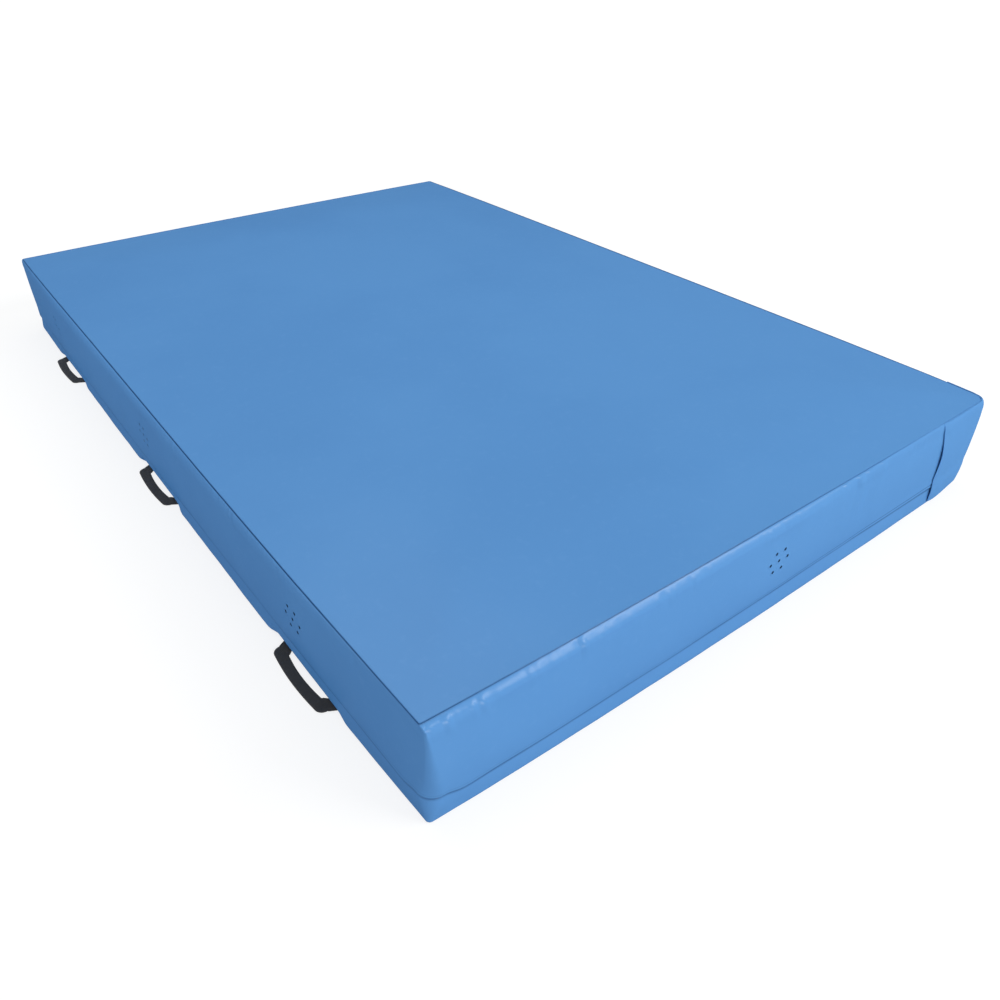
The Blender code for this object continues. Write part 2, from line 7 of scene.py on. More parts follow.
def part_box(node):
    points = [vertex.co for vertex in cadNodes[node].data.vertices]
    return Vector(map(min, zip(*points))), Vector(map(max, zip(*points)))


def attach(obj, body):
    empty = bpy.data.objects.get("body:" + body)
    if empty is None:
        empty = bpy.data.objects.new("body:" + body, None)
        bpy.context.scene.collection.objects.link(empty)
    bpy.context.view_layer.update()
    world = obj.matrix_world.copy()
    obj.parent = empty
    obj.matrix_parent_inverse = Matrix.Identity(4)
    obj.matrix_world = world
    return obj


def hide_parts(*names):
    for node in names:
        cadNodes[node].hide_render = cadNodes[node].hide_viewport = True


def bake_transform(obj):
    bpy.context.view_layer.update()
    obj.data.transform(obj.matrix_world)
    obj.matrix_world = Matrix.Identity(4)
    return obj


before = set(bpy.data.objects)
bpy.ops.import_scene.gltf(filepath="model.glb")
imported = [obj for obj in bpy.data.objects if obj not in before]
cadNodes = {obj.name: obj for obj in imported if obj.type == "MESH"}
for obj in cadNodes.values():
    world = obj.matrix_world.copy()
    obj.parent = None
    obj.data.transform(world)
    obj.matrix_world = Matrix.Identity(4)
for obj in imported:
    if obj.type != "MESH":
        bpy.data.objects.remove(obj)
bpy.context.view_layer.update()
scene = bpy.context.scene
scene.view_settings.view_transform = "Standard"
print("frame loaded:", len(cadNodes), "nodes")


# camera, floor and lamps

photoCamera = dict(
    focal=29.88,  # mm on a 36 mm sensor
    place=(-1.477, -2.352, 1.478),
    azimuth=-37.48,
    elevation=35.47,
    roll=-0.19,
)


def setMode(mode):
    bpy.ops.object.mode_set(mode=mode)


def deselectAll():
    if bpy.context.object and bpy.context.object.mode != "OBJECT":
        setMode("OBJECT")
    bpy.ops.object.select_all(action="DESELECT")


def setCamera():
    az, el, roll = (math.radians(photoCamera[k]) for k in ("azimuth", "elevation", "roll"))
    back = Vector((math.sin(az) * math.cos(el), -math.cos(az) * math.cos(el), math.sin(el)))
    right = (-back).cross(Vector((0, 0, 1))).normalized()
    down = (-back).cross(right)
    across = right * math.cos(roll) + down * math.sin(roll)
    upward = right * math.sin(roll) - down * math.cos(roll)
    deselectAll()
    bpy.ops.object.camera_add()
    camera = bpy.context.object
    camera.name = "photoCamera"
    camera.data.sensor_width = 36
    camera.data.lens = photoCamera["focal"]
    camera.data.clip_end = 200
    turn = Matrix((across, upward, back)).transposed().to_4x4()
    camera.matrix_world = Matrix.Translation(photoCamera["place"]) @ turn
    scene.camera = camera


setCamera()
print("camera set")


# materials: a wire is one socket, and sums on wires add Math nodes

class Wire:
    def __init__(self, finish, socket):
        self.finish, self.socket = finish, socket

    def calc(self, operation, *values):
        return self.finish.node("Math", dict(operation=operation), dict(enumerate(values)))

    def __add__(self, other):
        return self.calc("ADD", self, other)

    def __radd__(self, other):
        return self.calc("ADD", other, self)

    def __sub__(self, other):
        return self.calc("SUBTRACT", self, other)

    def __rsub__(self, other):
        return self.calc("SUBTRACT", other, self)

    def __mul__(self, other):
        return self.calc("MULTIPLY", self, other)

    def __rmul__(self, other):
        return self.calc("MULTIPLY", other, self)

    def sin(self):
        return self.calc("SINE", self)

    def size(self):
        return self.calc("ABSOLUTE", self)

    def over(self, other):
        return self.calc("MAXIMUM", self, other)


class Finish:  # the node tree of one material, or of the world
    def __init__(self, owner):
        self.owner = owner
        owner.use_nodes = True
        self.tree = owner.node_tree
        self.tree.nodes.clear()

    def node(self, kind, settings=None, sockets=None, out=0):
        made = self.tree.nodes.new("ShaderNode" + kind)
        for key, value in (settings or {}).items():
            setattr(made, key, value)
        for key, value in (sockets or {}).items():
            if isinstance(value, Wire):
                self.tree.links.new(value.socket, made.inputs[key])
            else:
                made.inputs[key].default_value = value
        return Wire(self, made.outputs[out]) if made.outputs else None

    def place(self):  # x, y, z of the piece's own coordinates, in metres
        spot = self.node("TexCoord", out="Object")
        return spot, [self.node("SeparateXYZ", None, {0: spot}, i) for i in range(3)]

    def cloth(self):  # the piece's UV map: along and across the cloth
        spot = self.node("TexCoord", out="UV")
        return spot, [self.node("SeparateXYZ", None, {0: spot}, i) for i in range(2)]

    def noise(self, spot, scale, detail=2.0, rough=0.5):
        return self.node("TexNoise", None, {"Vector": spot, "Scale": scale, "Detail": detail,
                                            "Roughness": rough})

    def ramp(self, value, low, high):  # 0 below low, 1 above high
        return self.node("MapRange", dict(interpolation_type="SMOOTHSTEP"),
                         {"Value": value, "From Min": low, "From Max": high})

    def mix(self, share, first, second):
        return self.node("Mix", dict(data_type="RGBA", clamp_factor=True),
                         {0: share, 6: first, 7: second}, 2)

    def bump(self, height, distance, strength=1.0, under=None):
        sockets = {"Height": height, "Distance": distance, "Strength": strength}
        if under:
            sockets["Normal"] = under
        return self.node("Bump", None, sockets)

    def skin(self, **sockets):  # the Principled shader, straight to the output
        named = {key.replace("_", " "): value for key, value in sockets.items()}
        self.shade(self.node("BsdfPrincipled", None, named))
        return self.owner

    def seen(self):  # 1 for camera, glossy and transmission rays
        camera, glossy, through = (self.node("LightPath", out=f"Is {kind} Ray")
                                   for kind in ("Camera", "Glossy", "Transmission"))
        return camera.over(glossy).over(through)

    def shade(self, shader, last="OutputMaterial"):
        self.node(last, None, {"Surface": shader})


def newPaint(name):
    return Finish(bpy.data.materials.new(name))


def tone(r, g, b):
    return (r, g, b, 1.0)


mat = dict(
    halfX=1.0,
    halfY=1.5,
    height=0.300,
    hemLow=0.0635,
    rollStart=0.268,  # where the wall turns over towards the seam
    rollTop=0.3012,
    rollEase=0.0009,  # how much lower it ends where the wall eases over
)

stageSet = dict(
    floorSize=160.0,
    floorDrop=0.0004,
    floorShare=0.26,  # how much of the floor's white the lamps give
    floorGlow=(0.80, 1.0),  # and how much is its own, by the mat and far off
    glowReach=(0.4, 2.4),
    bounce=tone(0.62, 0.63, 0.65),
    worldTone=tone(0.88, 0.95, 1.0),
    worldLevel=0.30,
    lamps=[  # name, place, aim, width, height, watts, tone
        ("keyLamp", (4.5, -6.6, 5.9), (-0.2, -1.0, 0.2), 5.5, 1.2, 455, (1.0, 0.98, 0.95)),
        ("topLamp", (-0.2, 0.8, 4.6), (-0.1, 0.2, 0.3), 4.2, 4.6, 92, (1.0, 0.99, 0.97)),
        ("frontLamp", (-2.0, -8.0, 1.7), (-0.4, -1.5, 0.15), 3.0, 1.6, 198, (1.0, 0.96, 0.92)),
        ("fillLamp", (-5.0, 0.5, 1.3), (-1.0, 0.7, 0.15), 5.0, 1.6, 42, (0.80, 0.92, 1.0)),
    ],
)


def makeStage():
    deselectAll()
    bpy.ops.mesh.primitive_plane_add(size=stageSet["floorSize"],
                                     location=(0, 0, -stageSet["floorDrop"]))
    floor = bpy.context.object
    floor.name = "studioFloor"
    paint = newPaint("floorWhite")
    lit = paint.node("BsdfDiffuse", None, {"Color": tone(*[stageSet["floorShare"]] * 3)})
    spot, (x, y, z) = paint.place()
    away = (x.size() - mat["halfX"]).over(y.size() - mat["halfY"])
    near, far = (tone(*[level] * 3) for level in stageSet["floorGlow"])
    pale = paint.mix(paint.ramp(away, *stageSet["glowReach"]), near, far)
    glow = paint.node("Emission", None, {"Color": pale, "Strength": 1.0})
    white = paint.node("AddShader", None, {0: lit, 1: glow})
    plain = paint.node("BsdfDiffuse", None, {"Color": stageSet["bounce"]})
    paint.shade(paint.node("MixShader", None, {0: paint.seen(), 1: plain, 2: white}))
    floor.data.materials.append(paint.owner)
    sky = Finish(bpy.data.worlds.new("studioWorld"))
    scene.world = sky.owner
    soft = sky.node("Background", None, {0: stageSet["worldTone"], 1: stageSet["worldLevel"]})
    white = sky.node("Background", None, {0: tone(1, 1, 1), 1: 1.0})
    sky.shade(sky.node("MixShader", None, {0: sky.seen(), 1: soft, 2: white}), "OutputWorld")
    for name, place, aim, width, height, watts, colour in stageSet["lamps"]:
        deselectAll()
        bpy.ops.object.light_add(type="AREA", location=place)
        lamp = bpy.context.object
        lamp.name = name
        lamp.data.shape = "RECTANGLE"
        lamp.data.size, lamp.data.size_y = width, height
        lamp.data.energy, lamp.data.color = watts, colour
        lamp.rotation_euler = (Vector(aim) - Vector(place)).to_track_quat("-Z", "Y").to_euler()


makeStage()
print("floor and lamps set")


coverLook = dict(
    base=tone(0.100, 0.284, 0.604),
    deep=tone(0.094, 0.272, 0.588),
    pale=tone(0.116, 0.304, 0.624),
    grime=tone(0.040, 0.130, 0.320),
    # painted shade: the dark colour that seams, the hem and the stitched crease are mixed towards
    crease=tone(0.010, 0.050, 0.160),
    cloudScale=1.7,
    fleckScale=38.0,
    grainScale=620.0,
    streakScale=(1.0, 5.0, 9.0),
    grimeReach=(0.004, 0.060),  # heights between which the grime fades
    creaseShadeShare=0.92,
    threadPitch=0.0021,  # the scrim that shows through the coating
    roughness=0.36,
    gloss=0.0,
    coat=0.040,  # a thin lacquer gives the sheen
    coatIndex=4.0,
    coatRoughness=0.28,
)


def makeCoverFinish(name, gritty=0.0):
    paint = newPaint(name)
    spot, (x, y, z) = paint.place()
    turns = 2 * math.pi / coverLook["threadPitch"]
    sx, sy, sz = ((v * turns).sin() for v in (x, y, z))
    scrim = sx * sy + sy * sz + sz * sx
    cloud = paint.noise(spot, coverLook["cloudScale"], 3.0)
    fleck = paint.noise(spot, coverLook["fleckScale"], 4.0, 0.6)
    grain = paint.noise(spot, coverLook["grainScale"], 2.0, 0.6)
    body = paint.mix(paint.ramp(cloud, 0.35, 0.65), coverLook["deep"], coverLook["base"])
    body = paint.mix(paint.ramp(fleck, 0.52, 0.80) * 0.35, body, coverLook["pale"])
    low = 1 - paint.ramp(z, *coverLook["grimeReach"])
    body = paint.mix(low * paint.ramp(fleck, 0.30, 0.75) * (0.10 + gritty), body, coverLook["grime"])
    # painted shade: the crease attribute darkens the cloth along the seams, the hem and the stitched crease
    paintedShade = paint.node("Attribute", dict(attribute_name="crease"), out="Fac")
    body = paint.mix(paintedShade * coverLook["creaseShadeShare"], body, coverLook["crease"])
    streaked = paint.node("Mapping", None, {0: spot, "Scale": coverLook["streakScale"]})
    scuff = paint.ramp(paint.noise(streaked, 9.0, 4.0, 0.65), 0.58, 0.78)
    rough = coverLook["roughness"] + (fleck - 0.5) * 0.10 + scuff * 0.10 + gritty
    fine = paint.bump(scrim * 0.12 + grain, 0.00012, 0.35)
    soft = paint.bump(paint.noise(spot, 7.0, 3.0), 0.004, 0.18, fine)
    return paint.skin(Base_Color=body, Roughness=rough, Normal=soft, IOR=1.46,
                      Specular_IOR_Level=coverLook["gloss"], Coat_Weight=coverLook["coat"],
                      Coat_IOR=coverLook["coatIndex"], Coat_Roughness=coverLook["coatRoughness"])


coverFinish = makeCoverFinish("coverBlue")
underFinish = makeCoverFinish("coverUnderside", 0.12)


def makePlainFinish(name, base, alt, roughness, scale, bumpDepth, **more):
    paint = newPaint(name)
    spot, _ = paint.place()
    grain = paint.noise(spot, scale, 4.0, 0.6)
    body = paint.mix(paint.ramp(grain, 0.35, 0.70), tone(*base), tone(*alt))
    return paint.skin(Base_Color=body, Roughness=roughness + (grain - 0.5) * 0.2,
                      Normal=paint.bump(grain, bumpDepth, 0.6), **more)


def makeWeaveFinish(name, base, alt, along, across, roughness, depth):
    paint = newPaint(name)  # ribs along the tape, small steps across them
    spot, (u, v) = paint.cloth()
    rib = (v * (math.pi * across)).sin().size()
    step = ((u * (2 * math.pi * along)) + (v * (math.pi * across)).sin() * 1.6).sin() * 0.5 + 0.5
    weave = rib * 0.65 + step * 0.35
    fuzz = paint.noise(paint.place()[0], 900.0, 3.0, 0.7)
    body = paint.mix(paint.ramp(weave * 0.7 + fuzz * 0.5, 0.35, 0.95), tone(*base), tone(*alt))
    return paint.skin(Base_Color=body, Roughness=roughness + (fuzz - 0.5) * 0.2,
                      Normal=paint.bump(weave + fuzz * 0.25, depth, 0.7))


blackYarn = (0.0045, 0.0047, 0.0055), (0.022, 0.023, 0.026)
webbingFinish = makeWeaveFinish("webbingBlack", *blackYarn, 260, 14, 0.62, 0.0007)
anchorFinish = makePlainFinish("anchorBlack", *blackYarn, 0.62, 700.0, 0.0007)
foamFinish = makePlainFinish("foamPale", (0.62, 0.60, 0.52), (0.50, 0.48, 0.40), 0.9, 260.0, 0.0016)
netFinish = makePlainFinish("netDark", (0.030, 0.095, 0.240), (0.050, 0.140, 0.320), 0.8, 900.0, 0.0006)
tapeFinish = makePlainFinish("zipTape", (0.020, 0.080, 0.240), (0.032, 0.110, 0.300), 0.75, 1200.0, 0.0003)
toothFinish = makePlainFinish("zipTooth", (0.018, 0.075, 0.230), (0.024, 0.090, 0.260), 0.35, 300.0, 0.0001)
metalFinish = makePlainFinish("zipMetal", (0.62, 0.62, 0.60), (0.50, 0.50, 0.48), 0.32, 420.0, 0.0001,
                              Metallic=1.0)
pileFinish = makePlainFinish("hookPile", (0.010, 0.030, 0.090), (0.030, 0.070, 0.170), 0.9, 1400.0, 0.0012)
print("materials made")


# the mat's outline, walked anticlockwise from the middle of the rear side

sideList = ["front", "right", "rear", "left"]
sideOut = dict(front=(0, -1), right=(1, 0), rear=(0, 1), left=(-1, 0))
sideRun = dict(front=(1, 0), right=(0, 1), rear=(-1, 0), left=(0, -1))
sideAxis = dict(front=0, right=1, rear=0, left=1)


def halfRun(side):
    return mat["halfX"] if side in ("front", "rear") else mat["halfY"]


def halfDepth(side):
    return mat["halfY"] if side in ("front", "rear") else mat["halfX"]


# how far each side stands out from its nominal plane, in mm, at places along x or y: at the top seam,
# half way up the wall, at the hem and at the floor; then 1 where the top edge is square, and 1 where
# the wall eases over to the seam

sideShape = dict(
    front=dict(at=[-1.0, -0.9, -0.7, -0.3, 0.1, 0.4, 0.7, 0.8, 0.94, 1.0],
               seam=[-1, 2, 6, 9, 7, 6, 2, 0, -3, -8],
               wall=[22, 24, 26, 28, 28, 23, 15.5, 14.9, 9, 1],
               hem=[14, 14, 16, 17, 15.5, 14, 12.8, 12, 9, 2],
               foot=[4, 10, 15, 20, 20, 17, 13, 11, 8, 4],
               square=[0.1, 0.6, 1, 0.9, 0.5, 0.1, 0, 0, 0, 0],
               eased=[0, 0, 0, 0, 0, 0.3, 1, 1, 1, 1]),
    right=dict(at=[-1.5, -1.36, -1.0, -0.4, 0.4, 1.0, 1.36, 1.5],
               seam=[-8, 1, 7, 9, 9, 7, 3, 0],
               wall=[1, 9, 19, 23, 23, 19, 13, 8],
               hem=[2, 7, 13, 16, 16, 14, 10, 7],
               foot=[3, 7, 12, 15, 15, 13, 10, 8],
               square=[0, 0, 0.2, 0.3, 0.3, 0.2, 0, 0],
               eased=[1, 0.6, 0.1, 0, 0, 0, 0.2, 0.3]),
    rear=dict(at=[-1.0, -0.8, -0.3, 0.3, 0.8, 1.0],
              seam=[0, 4, 9, 9, 4, 0],
              wall=[8, 16, 22, 22, 16, 8],
              hem=[7, 12, 15, 15, 12, 7],
              foot=[8, 10, 13, 13, 10, 8],
              square=[0, 0.2, 0.3, 0.3, 0.2, 0],
              eased=[0.3, 0.1, 0, 0, 0.1, 0.3]),
    left=dict(at=[-1.5, -1.36, -1.0, -0.5, 0.0, 0.5, 1.0, 1.36, 1.5],
              seam=[3, 5, 9, 10, 8, 6, 5, 3, 0],
              wall=[1.5, 7, 21, 24, 24, 24, 22, 13, 8],
              hem=[8, 8.5, 14, 18, 19, 18, 16, 11, 7],
              foot=[2, 9, 19, 21, 22, 20, 17, 12, 9],
              square=[0, 0, 0.2, 0.3, 0.3, 0.3, 0.2, 0, 0],
              eased=[0, 0, 0.1, 0.1, 0, 0, 0, 0.2, 0.3]),
)
shapeKeys = ("seam", "wall", "hem", "foot", "square", "eased")
shapeShares = shapeKeys[4:]
sideSign = dict(front=1, right=1, rear=-1, left=-1)  # a side runs up or down its axis


def smoothTable(side, key):  # the listed numbers with their corners rounded off
    half = halfRun(side)
    places = np.linspace(-half, half, 401)
    raw = np.interp(places, sideShape[side]["at"], sideShape[side][key])
    pad = int(0.08 / (places[1] - places[0]))
    ends = [2 * raw[0] - raw[pad:0:-1], raw, 2 * raw[-1] - raw[-2:-pad - 2:-1]]
    window = np.hanning(2 * pad + 3)[1:-1]
    return places, np.convolve(np.concatenate(ends), window / window.sum(), mode="valid")


shapeTables = {(side, key): smoothTable(side, key) for side in sideList for key in shapeKeys}


def shapeAt(side, key, place):  # in metres, or a share
    return np.interp(place, *shapeTables[side, key]) * (1 if key in shapeShares else 0.001)


class Outline:
    def __init__(self, step, cornerCount):
        rows = []
        for k, side in enumerate(sideList):
            half = halfRun(side)
            count = int(round(2 * half / step))
            for i in range(count + 1):
                rows.append((k, -1 + 2 * i / count, 0.0))
            for i in range(1, cornerCount):
                rows.append((k, 1.0, i / cornerCount * math.pi / 2))
        start = next(i for i, r in enumerate(rows) if r[0] == 2 and r[1] >= 0)
        rows = rows[start:] + rows[:start]
        self.first = [rows.index((k, -1.0, 0.0)) for k in range(4)]
        self.last = [rows.index((k, 1.0, 0.0)) for k in range(4)]
        rows.append(rows[0])  # the last column closes the ring
        self.side, self.share, self.turn = (np.array(column) for column in zip(*rows))
        self.bend = self.turn / (math.pi / 2)
        self.out = np.array([sideOut[sideList[k]] for k in self.side], float)
        self.run = np.array([sideRun[sideList[k]] for k in self.side], float)
        self.half = np.array([halfRun(sideList[k]) for k in self.side])
        self.depth = np.array([halfDepth(sideList[k]) for k in self.side])
        self.place = self.share * self.half * np.array([sideSign[sideList[k]] for k in self.side])
        self.onFront = (self.side == 0) & (self.turn == 0)
        self.frontX = np.where(self.onFront, self.place, -1.0)
        flat = self.wrap(np.zeros(len(rows)), [0.02] * 4)
        jump = np.linalg.norm(np.diff(flat, axis=0), axis=1)
        self.arc = np.concatenate([[0], np.cumsum(jump)])
        self.length = self.arc[-1]

    def shape(self):  # the numbers of sideShape at every column
        form = {}
        for key in shapeKeys:
            value = np.empty(len(self.side))
            for k, side in enumerate(sideList):
                here = self.side == k
                value[here] = shapeAt(side, key, self.place[here])
            after = value[self.first][(self.side + 1) % 4]
            form[key] = value * (1 - self.bend) + after * self.bend
        return form

    def wrap(self, stand, radii):  # radii: the outer radius of the corner after each side
        radii = np.asarray(radii, float)
        onward, ahead = (self.side + 1) % 4, (self.side - 1) % 4
        ends, starts = stand[self.last], stand[self.first]
        low = -(self.half + ends[ahead] - radii[ahead])
        high = self.half + starts[onward] - radii[self.side]
        run = low + (self.share + 1) / 2 * (high - low)
        onSide = self.out * (self.depth + stand)[:, None] + self.run * run[:, None]
        inward = self.depth + ends[self.side] - radii[self.side]
        heart = self.out * inward[:, None] + self.run * high[:, None]
        aim = self.out * np.cos(self.turn)[:, None] + self.run * np.sin(self.turn)[:, None]
        ripple = stand - ends[self.side] * (1 - self.bend) - starts[onward] * self.bend
        onTurn = heart + aim * (radii[self.side] + ripple)[:, None]
        return np.where(self.turn[:, None] > 0, onTurn, onSide)


def smooth(t):
    t = np.clip(t, 0, 1)
    return t * t * (3 - 2 * t)


def waves(u, length, spans, seed):  # a sum of sines that closes on itself
    draw = np.random.default_rng(seed)
    total = np.zeros_like(u)
    for span, weight in spans:
        cycles = max(1, round(length / span))
        total += weight * np.sin(2 * math.pi * cycles * u / length + draw.uniform(0, 2 * math.pi))
    return total


def getPoints(piece):
    spot = np.empty(len(piece.data.vertices) * 3)
    piece.data.vertices.foreach_get("co", spot)
    return spot.reshape(-1, 3)


def gridPiece(name, columns, rows):  # a grid, and the column and row of each of its points
    deselectAll()
    bpy.ops.mesh.primitive_grid_add(x_subdivisions=columns, y_subdivisions=rows, size=1)
    piece = bpy.context.object
    piece.name = piece.data.name = name
    spot = getPoints(piece)
    column = np.rint((spot[:, 0] + 0.5) * columns).astype(int)
    row = np.rint((spot[:, 1] + 0.5) * rows).astype(int)
    return piece, column, row


def sheetPiece(name, points):  # points: rows, columns, xyz
    piece, column, row = gridPiece(name, points.shape[1] - 1, points.shape[0] - 1)
    setPoints(piece, points[row, column])
    return piece, column, row


def setPoints(piece, points):
    piece.data.vertices.foreach_set("co", np.ascontiguousarray(points, dtype=np.float32).ravel())
    piece.data.update()


def setShare(piece, name, values):  # one number per point, for the materials
    layer = piece.data.attributes.new(name, "FLOAT", "POINT")
    layer.data.foreach_set("value", np.ascontiguousarray(values, dtype=np.float32))


def faceCentres(piece):
    spot = np.empty(len(piece.data.polygons) * 3)
    piece.data.polygons.foreach_get("center", spot)
    return spot.reshape(-1, 3)


def activate(piece):
    deselectAll()
    piece.select_set(True)
    bpy.context.view_layer.objects.active = piece


def selectFaces(piece, chosen):  # and goes to edit mode
    activate(piece)
    setMode("EDIT")
    bpy.ops.mesh.select_mode(type="FACE")
    bpy.ops.mesh.select_all(action="DESELECT")
    setMode("OBJECT")
    piece.data.polygons.foreach_set("select", chosen)
    setMode("EDIT")


def editMesh(piece, *steps):  # runs mesh operators on everything in the piece
    activate(piece)
    setMode("EDIT")
    bpy.ops.mesh.select_all(action="SELECT")
    for step in steps:
        step()
    setMode("OBJECT")


def mergeDoubles():
    bpy.ops.mesh.remove_doubles(threshold=0.00001)


def applyModifier(piece, kind, name, **settings):
    activate(piece)
    change = piece.modifiers.new(name, kind)
    for key, value in settings.items():
        setattr(change, key, value)
    bpy.ops.object.modifier_apply(modifier=change.name)


def smoothShade(piece, angle):
    activate(piece)
    bpy.ops.object.shade_smooth_by_angle(angle=math.radians(angle))


def finishPiece(piece, material, body, slot, *nodes, angle=60):  # no body: left unattached
    smoothShade(piece, angle)
    piece.data.materials.clear()
    piece.data.materials.append(material)
    if body:
        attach(piece, body)
    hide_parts(*nodes)
    return piece


# foam block

foamSet = dict(inset=0.014, foot=0.004, top=0.2955, edge=0.045)


def makeFoam():
    deselectAll()
    low, high = foamSet["foot"], foamSet["top"]
    bpy.ops.mesh.primitive_cube_add(size=1, location=(0, 0, (low + high) / 2))
    foam = bpy.context.object
    foam.name = foam.data.name = "foamBlock"
    halfX, halfY = (mat[k] - foamSet["inset"] for k in ("halfX", "halfY"))
    foam.scale = (2 * halfX, 2 * halfY, high - low)
    bpy.ops.object.transform_apply(location=True, rotation=False, scale=True)
    editMesh(foam, lambda: bpy.ops.mesh.bevel(offset=foamSet["edge"], segments=4, affect="EDGES"),
             lambda: bpy.ops.mesh.subdivide(number_cuts=6))
    finishPiece(foam, foamFinish, "mat", "foam", "foam_core", angle=40)
    return foam


foamBlock = makeFoam()
print("foam block made")


# side band: hem, wall with vents, and the roll up to the top seam

bandSet = dict(
    step=0.0060,
    cornerCount=12,
    # rows of the turned-in hem and of the edge under the top sheet: stand, height
    hemRows=[(-0.0048, 0.0150), (-0.0052, 0.0040), (-0.0042, 0.0008), (-0.0022, -0.0002),
             (-0.0006, 0.0006)],
    # painted shade, from 0 to 1, in the hem rows and in the rows under the top seam
    hemShade=[1, 1, 1, 1, 0.9, 0.3],
    seamRows=[(-0.0005, -0.0022), (-0.0010, -0.0080)],
    seamShade=[0.45, 1, 1],
    stitchRows=[0.0024, 0.0080, 0.0105, 0.0130, 0.0155, 0.0180, 0.0240],  # above the hem
    stitchRow=3,  # the one of them that the stitching draws in
    wallStart=0.036,  # above the hem
    wallRows=19,
    rollRows=9,
    rollEnd=1.524,  # just short of a right angle
    swell=0.0012,
    pucker=(0.0008, 0.0014),  # on the wall's top and on the roll
    puckerReach=0.012,
    nearTuck=0.0030,
    rimRise=0.0013,
    holeRadius=0.0045,
    ringRadius=0.033,
    # soft folds that hang from the top edge of the front: x, width, height, foot, lean
    folds=[(0.275, 0.016, 0.0020, 0.12, -0.10), (0.330, 0.015, -0.0017, 0.10, -0.12),
           (0.362, 0.014, 0.0027, 0.09, -0.13), (0.404, 0.015, -0.0022, 0.10, -0.12),
           (0.448, 0.015, 0.0026, 0.10, -0.09), (0.495, 0.020, -0.0014, 0.12, -0.08),
           (0.190, 0.022, 0.0017, 0.12, -0.06), (0.110, 0.025, 0.0014, 0.13, -0.05),
           (0.580, 0.030, 0.0017, 0.12, -0.04), (-0.02, 0.030, 0.0010, 0.13, -0.03)],
    # short tucks on the roll above them: x, width, height
    tucks=[(0.283, 0.0065, 0.0030), (0.300, 0.0060, 0.0022), (0.345, 0.0070, 0.0035),
           (0.358, 0.0060, 0.0024), (0.386, 0.0075, 0.0041), (0.402, 0.0060, 0.0024),
           (0.452, 0.0070, 0.0035), (0.466, 0.0060, 0.0022)],
)


cornerSet = dict(  # outer radius of each corner from the floor to the top seam
    levels=[0.0, 0.030, 0.064, 0.130, 0.250, 0.285, 0.300],
    near=[0.010, 0.020, 0.041, 0.028, 0.010, 0.006, 0.004],
    right=[0.100, 0.080, 0.044, 0.030, 0.026, 0.027, 0.027],
    plain=[0.028, 0.032, 0.036, 0.032, 0.020, 0.014, 0.009],
)


def cornerRadii(z):
    near, right, plain = (np.interp(z, cornerSet["levels"], cornerSet[key])
                          for key in ("near", "right", "plain"))
    return [right, plain, plain, near]


def easedCurve():  # the wall that eases over to the seam, as shares of its stand
    t = np.linspace(0, 1, 101)
    weights = (1 - t) ** 3, 3 * t * (1 - t) ** 2, 3 * t ** 2 * (1 - t), t ** 3
    stand, z = (sum(w * v for w, v in zip(weights, knots))
                for knots in ((0.0075, 0.020, 0.020, -0.012), (0.064, 0.1584, 0.300, 0.300)))
    return z, stand / stand.max()


easedHeights, easedShares = easedCurve()


def wallStand(form, z):
    t = np.clip((z - mat["hemLow"]) / (mat["rollStart"] - mat["hemLow"]), 0, 1)
    rise = np.where(t < 0.5, 1 - np.abs(1 - t / 0.5) ** 2.2, 1 - 0.14 * (2 * t - 1) ** 2)
    full = form["hem"] + (form["wall"] - form["hem"]) * rise
    lap = 1 - smooth((t - 0.10) / 0.10)
    eased = form["hem"] * lap + form["wall"] * np.interp(z, easedHeights, easedShares) * (1 - lap)
    return full * (1 - form["eased"]) + eased * form["eased"]


# the roll, from the wall (0) to the seam (1): round, and square with a flat between two turns
rollShares = [(i + 1) / bandSet["rollRows"] for i in range(bandSet["rollRows"])]
rollTurns = [share * bandSet["rollEnd"] for share in rollShares]
rollRound = [(1 - math.cos(turn) ** 0.85, math.sin(turn) ** 0.9) for turn in rollTurns]
rollSquare = [(0.0, 0.22), (0.01, 0.40), (0.06, 0.52), (0.17, 0.60), (0.33, 0.69), (0.51, 0.78),
              (0.69, 0.87), (0.85, 0.945), (0.985, 1.0)]


def rollPoint(form, i):  # stand and height
    (ra, rb), (sa, sb) = rollRound[i], rollSquare[i]
    over, up = ra + (sa - ra) * form["square"], rb + (sb - rb) * form["square"]
    top = wallStand(form, mat["rollStart"])
    reach = mat["rollTop"] - mat["rollEase"] * form["eased"] - mat["rollStart"]
    return top + (form["seam"] - top) * over, mat["rollStart"] + reach * up


def gatherShare(ring):  # how strongly the seam gathers the band, round the mat
    share = 0.45 + 0.35 * waves(ring.arc, ring.length, [(1.3, 0.7), (0.5, 0.5)], 5)
    strong = np.interp(ring.place, [-1.0, -0.75, -0.3, 0.2, 1.0], [1.5, 1.1, 0.6, 0.3, 0.3])
    return np.where(ring.onFront, strong, np.clip(share, 0.1, 1.0))


def seamShadeShare(side, place):  # how strong the painted shade along the top seam is, by side and place
    front = np.interp(place, [-0.1, 0.35], [1.0, 0.2])
    return np.select([side == 0, side == 3], [front, 1.0], 0.5)


hemSet = dict(rise=0.006, nearRise=0.017, nearReach=0.034, wave=0.0010)


def hemRise(ring):  # the hem waves, and rides up on the right and at the near corner
    x = ring.frontX
    lift = hemSet["rise"] * smooth((x + 0.05) / 0.35) * (1 - smooth((x - 0.75) / 0.15))
    left = (ring.side == 3) & (ring.place < 0)
    away = np.where(ring.onFront, ring.place + mat["halfX"], 1.0)
    away = np.where(left, ring.place + mat["halfY"], away)
    lift = lift + hemSet["nearRise"] * np.exp(-(away / hemSet["nearReach"]) ** 2)
    return lift + hemSet["wave"] * waves(ring.arc, ring.length, [(0.9, 0.6), (0.43, 0.5), (0.21, 0.3)], 13)


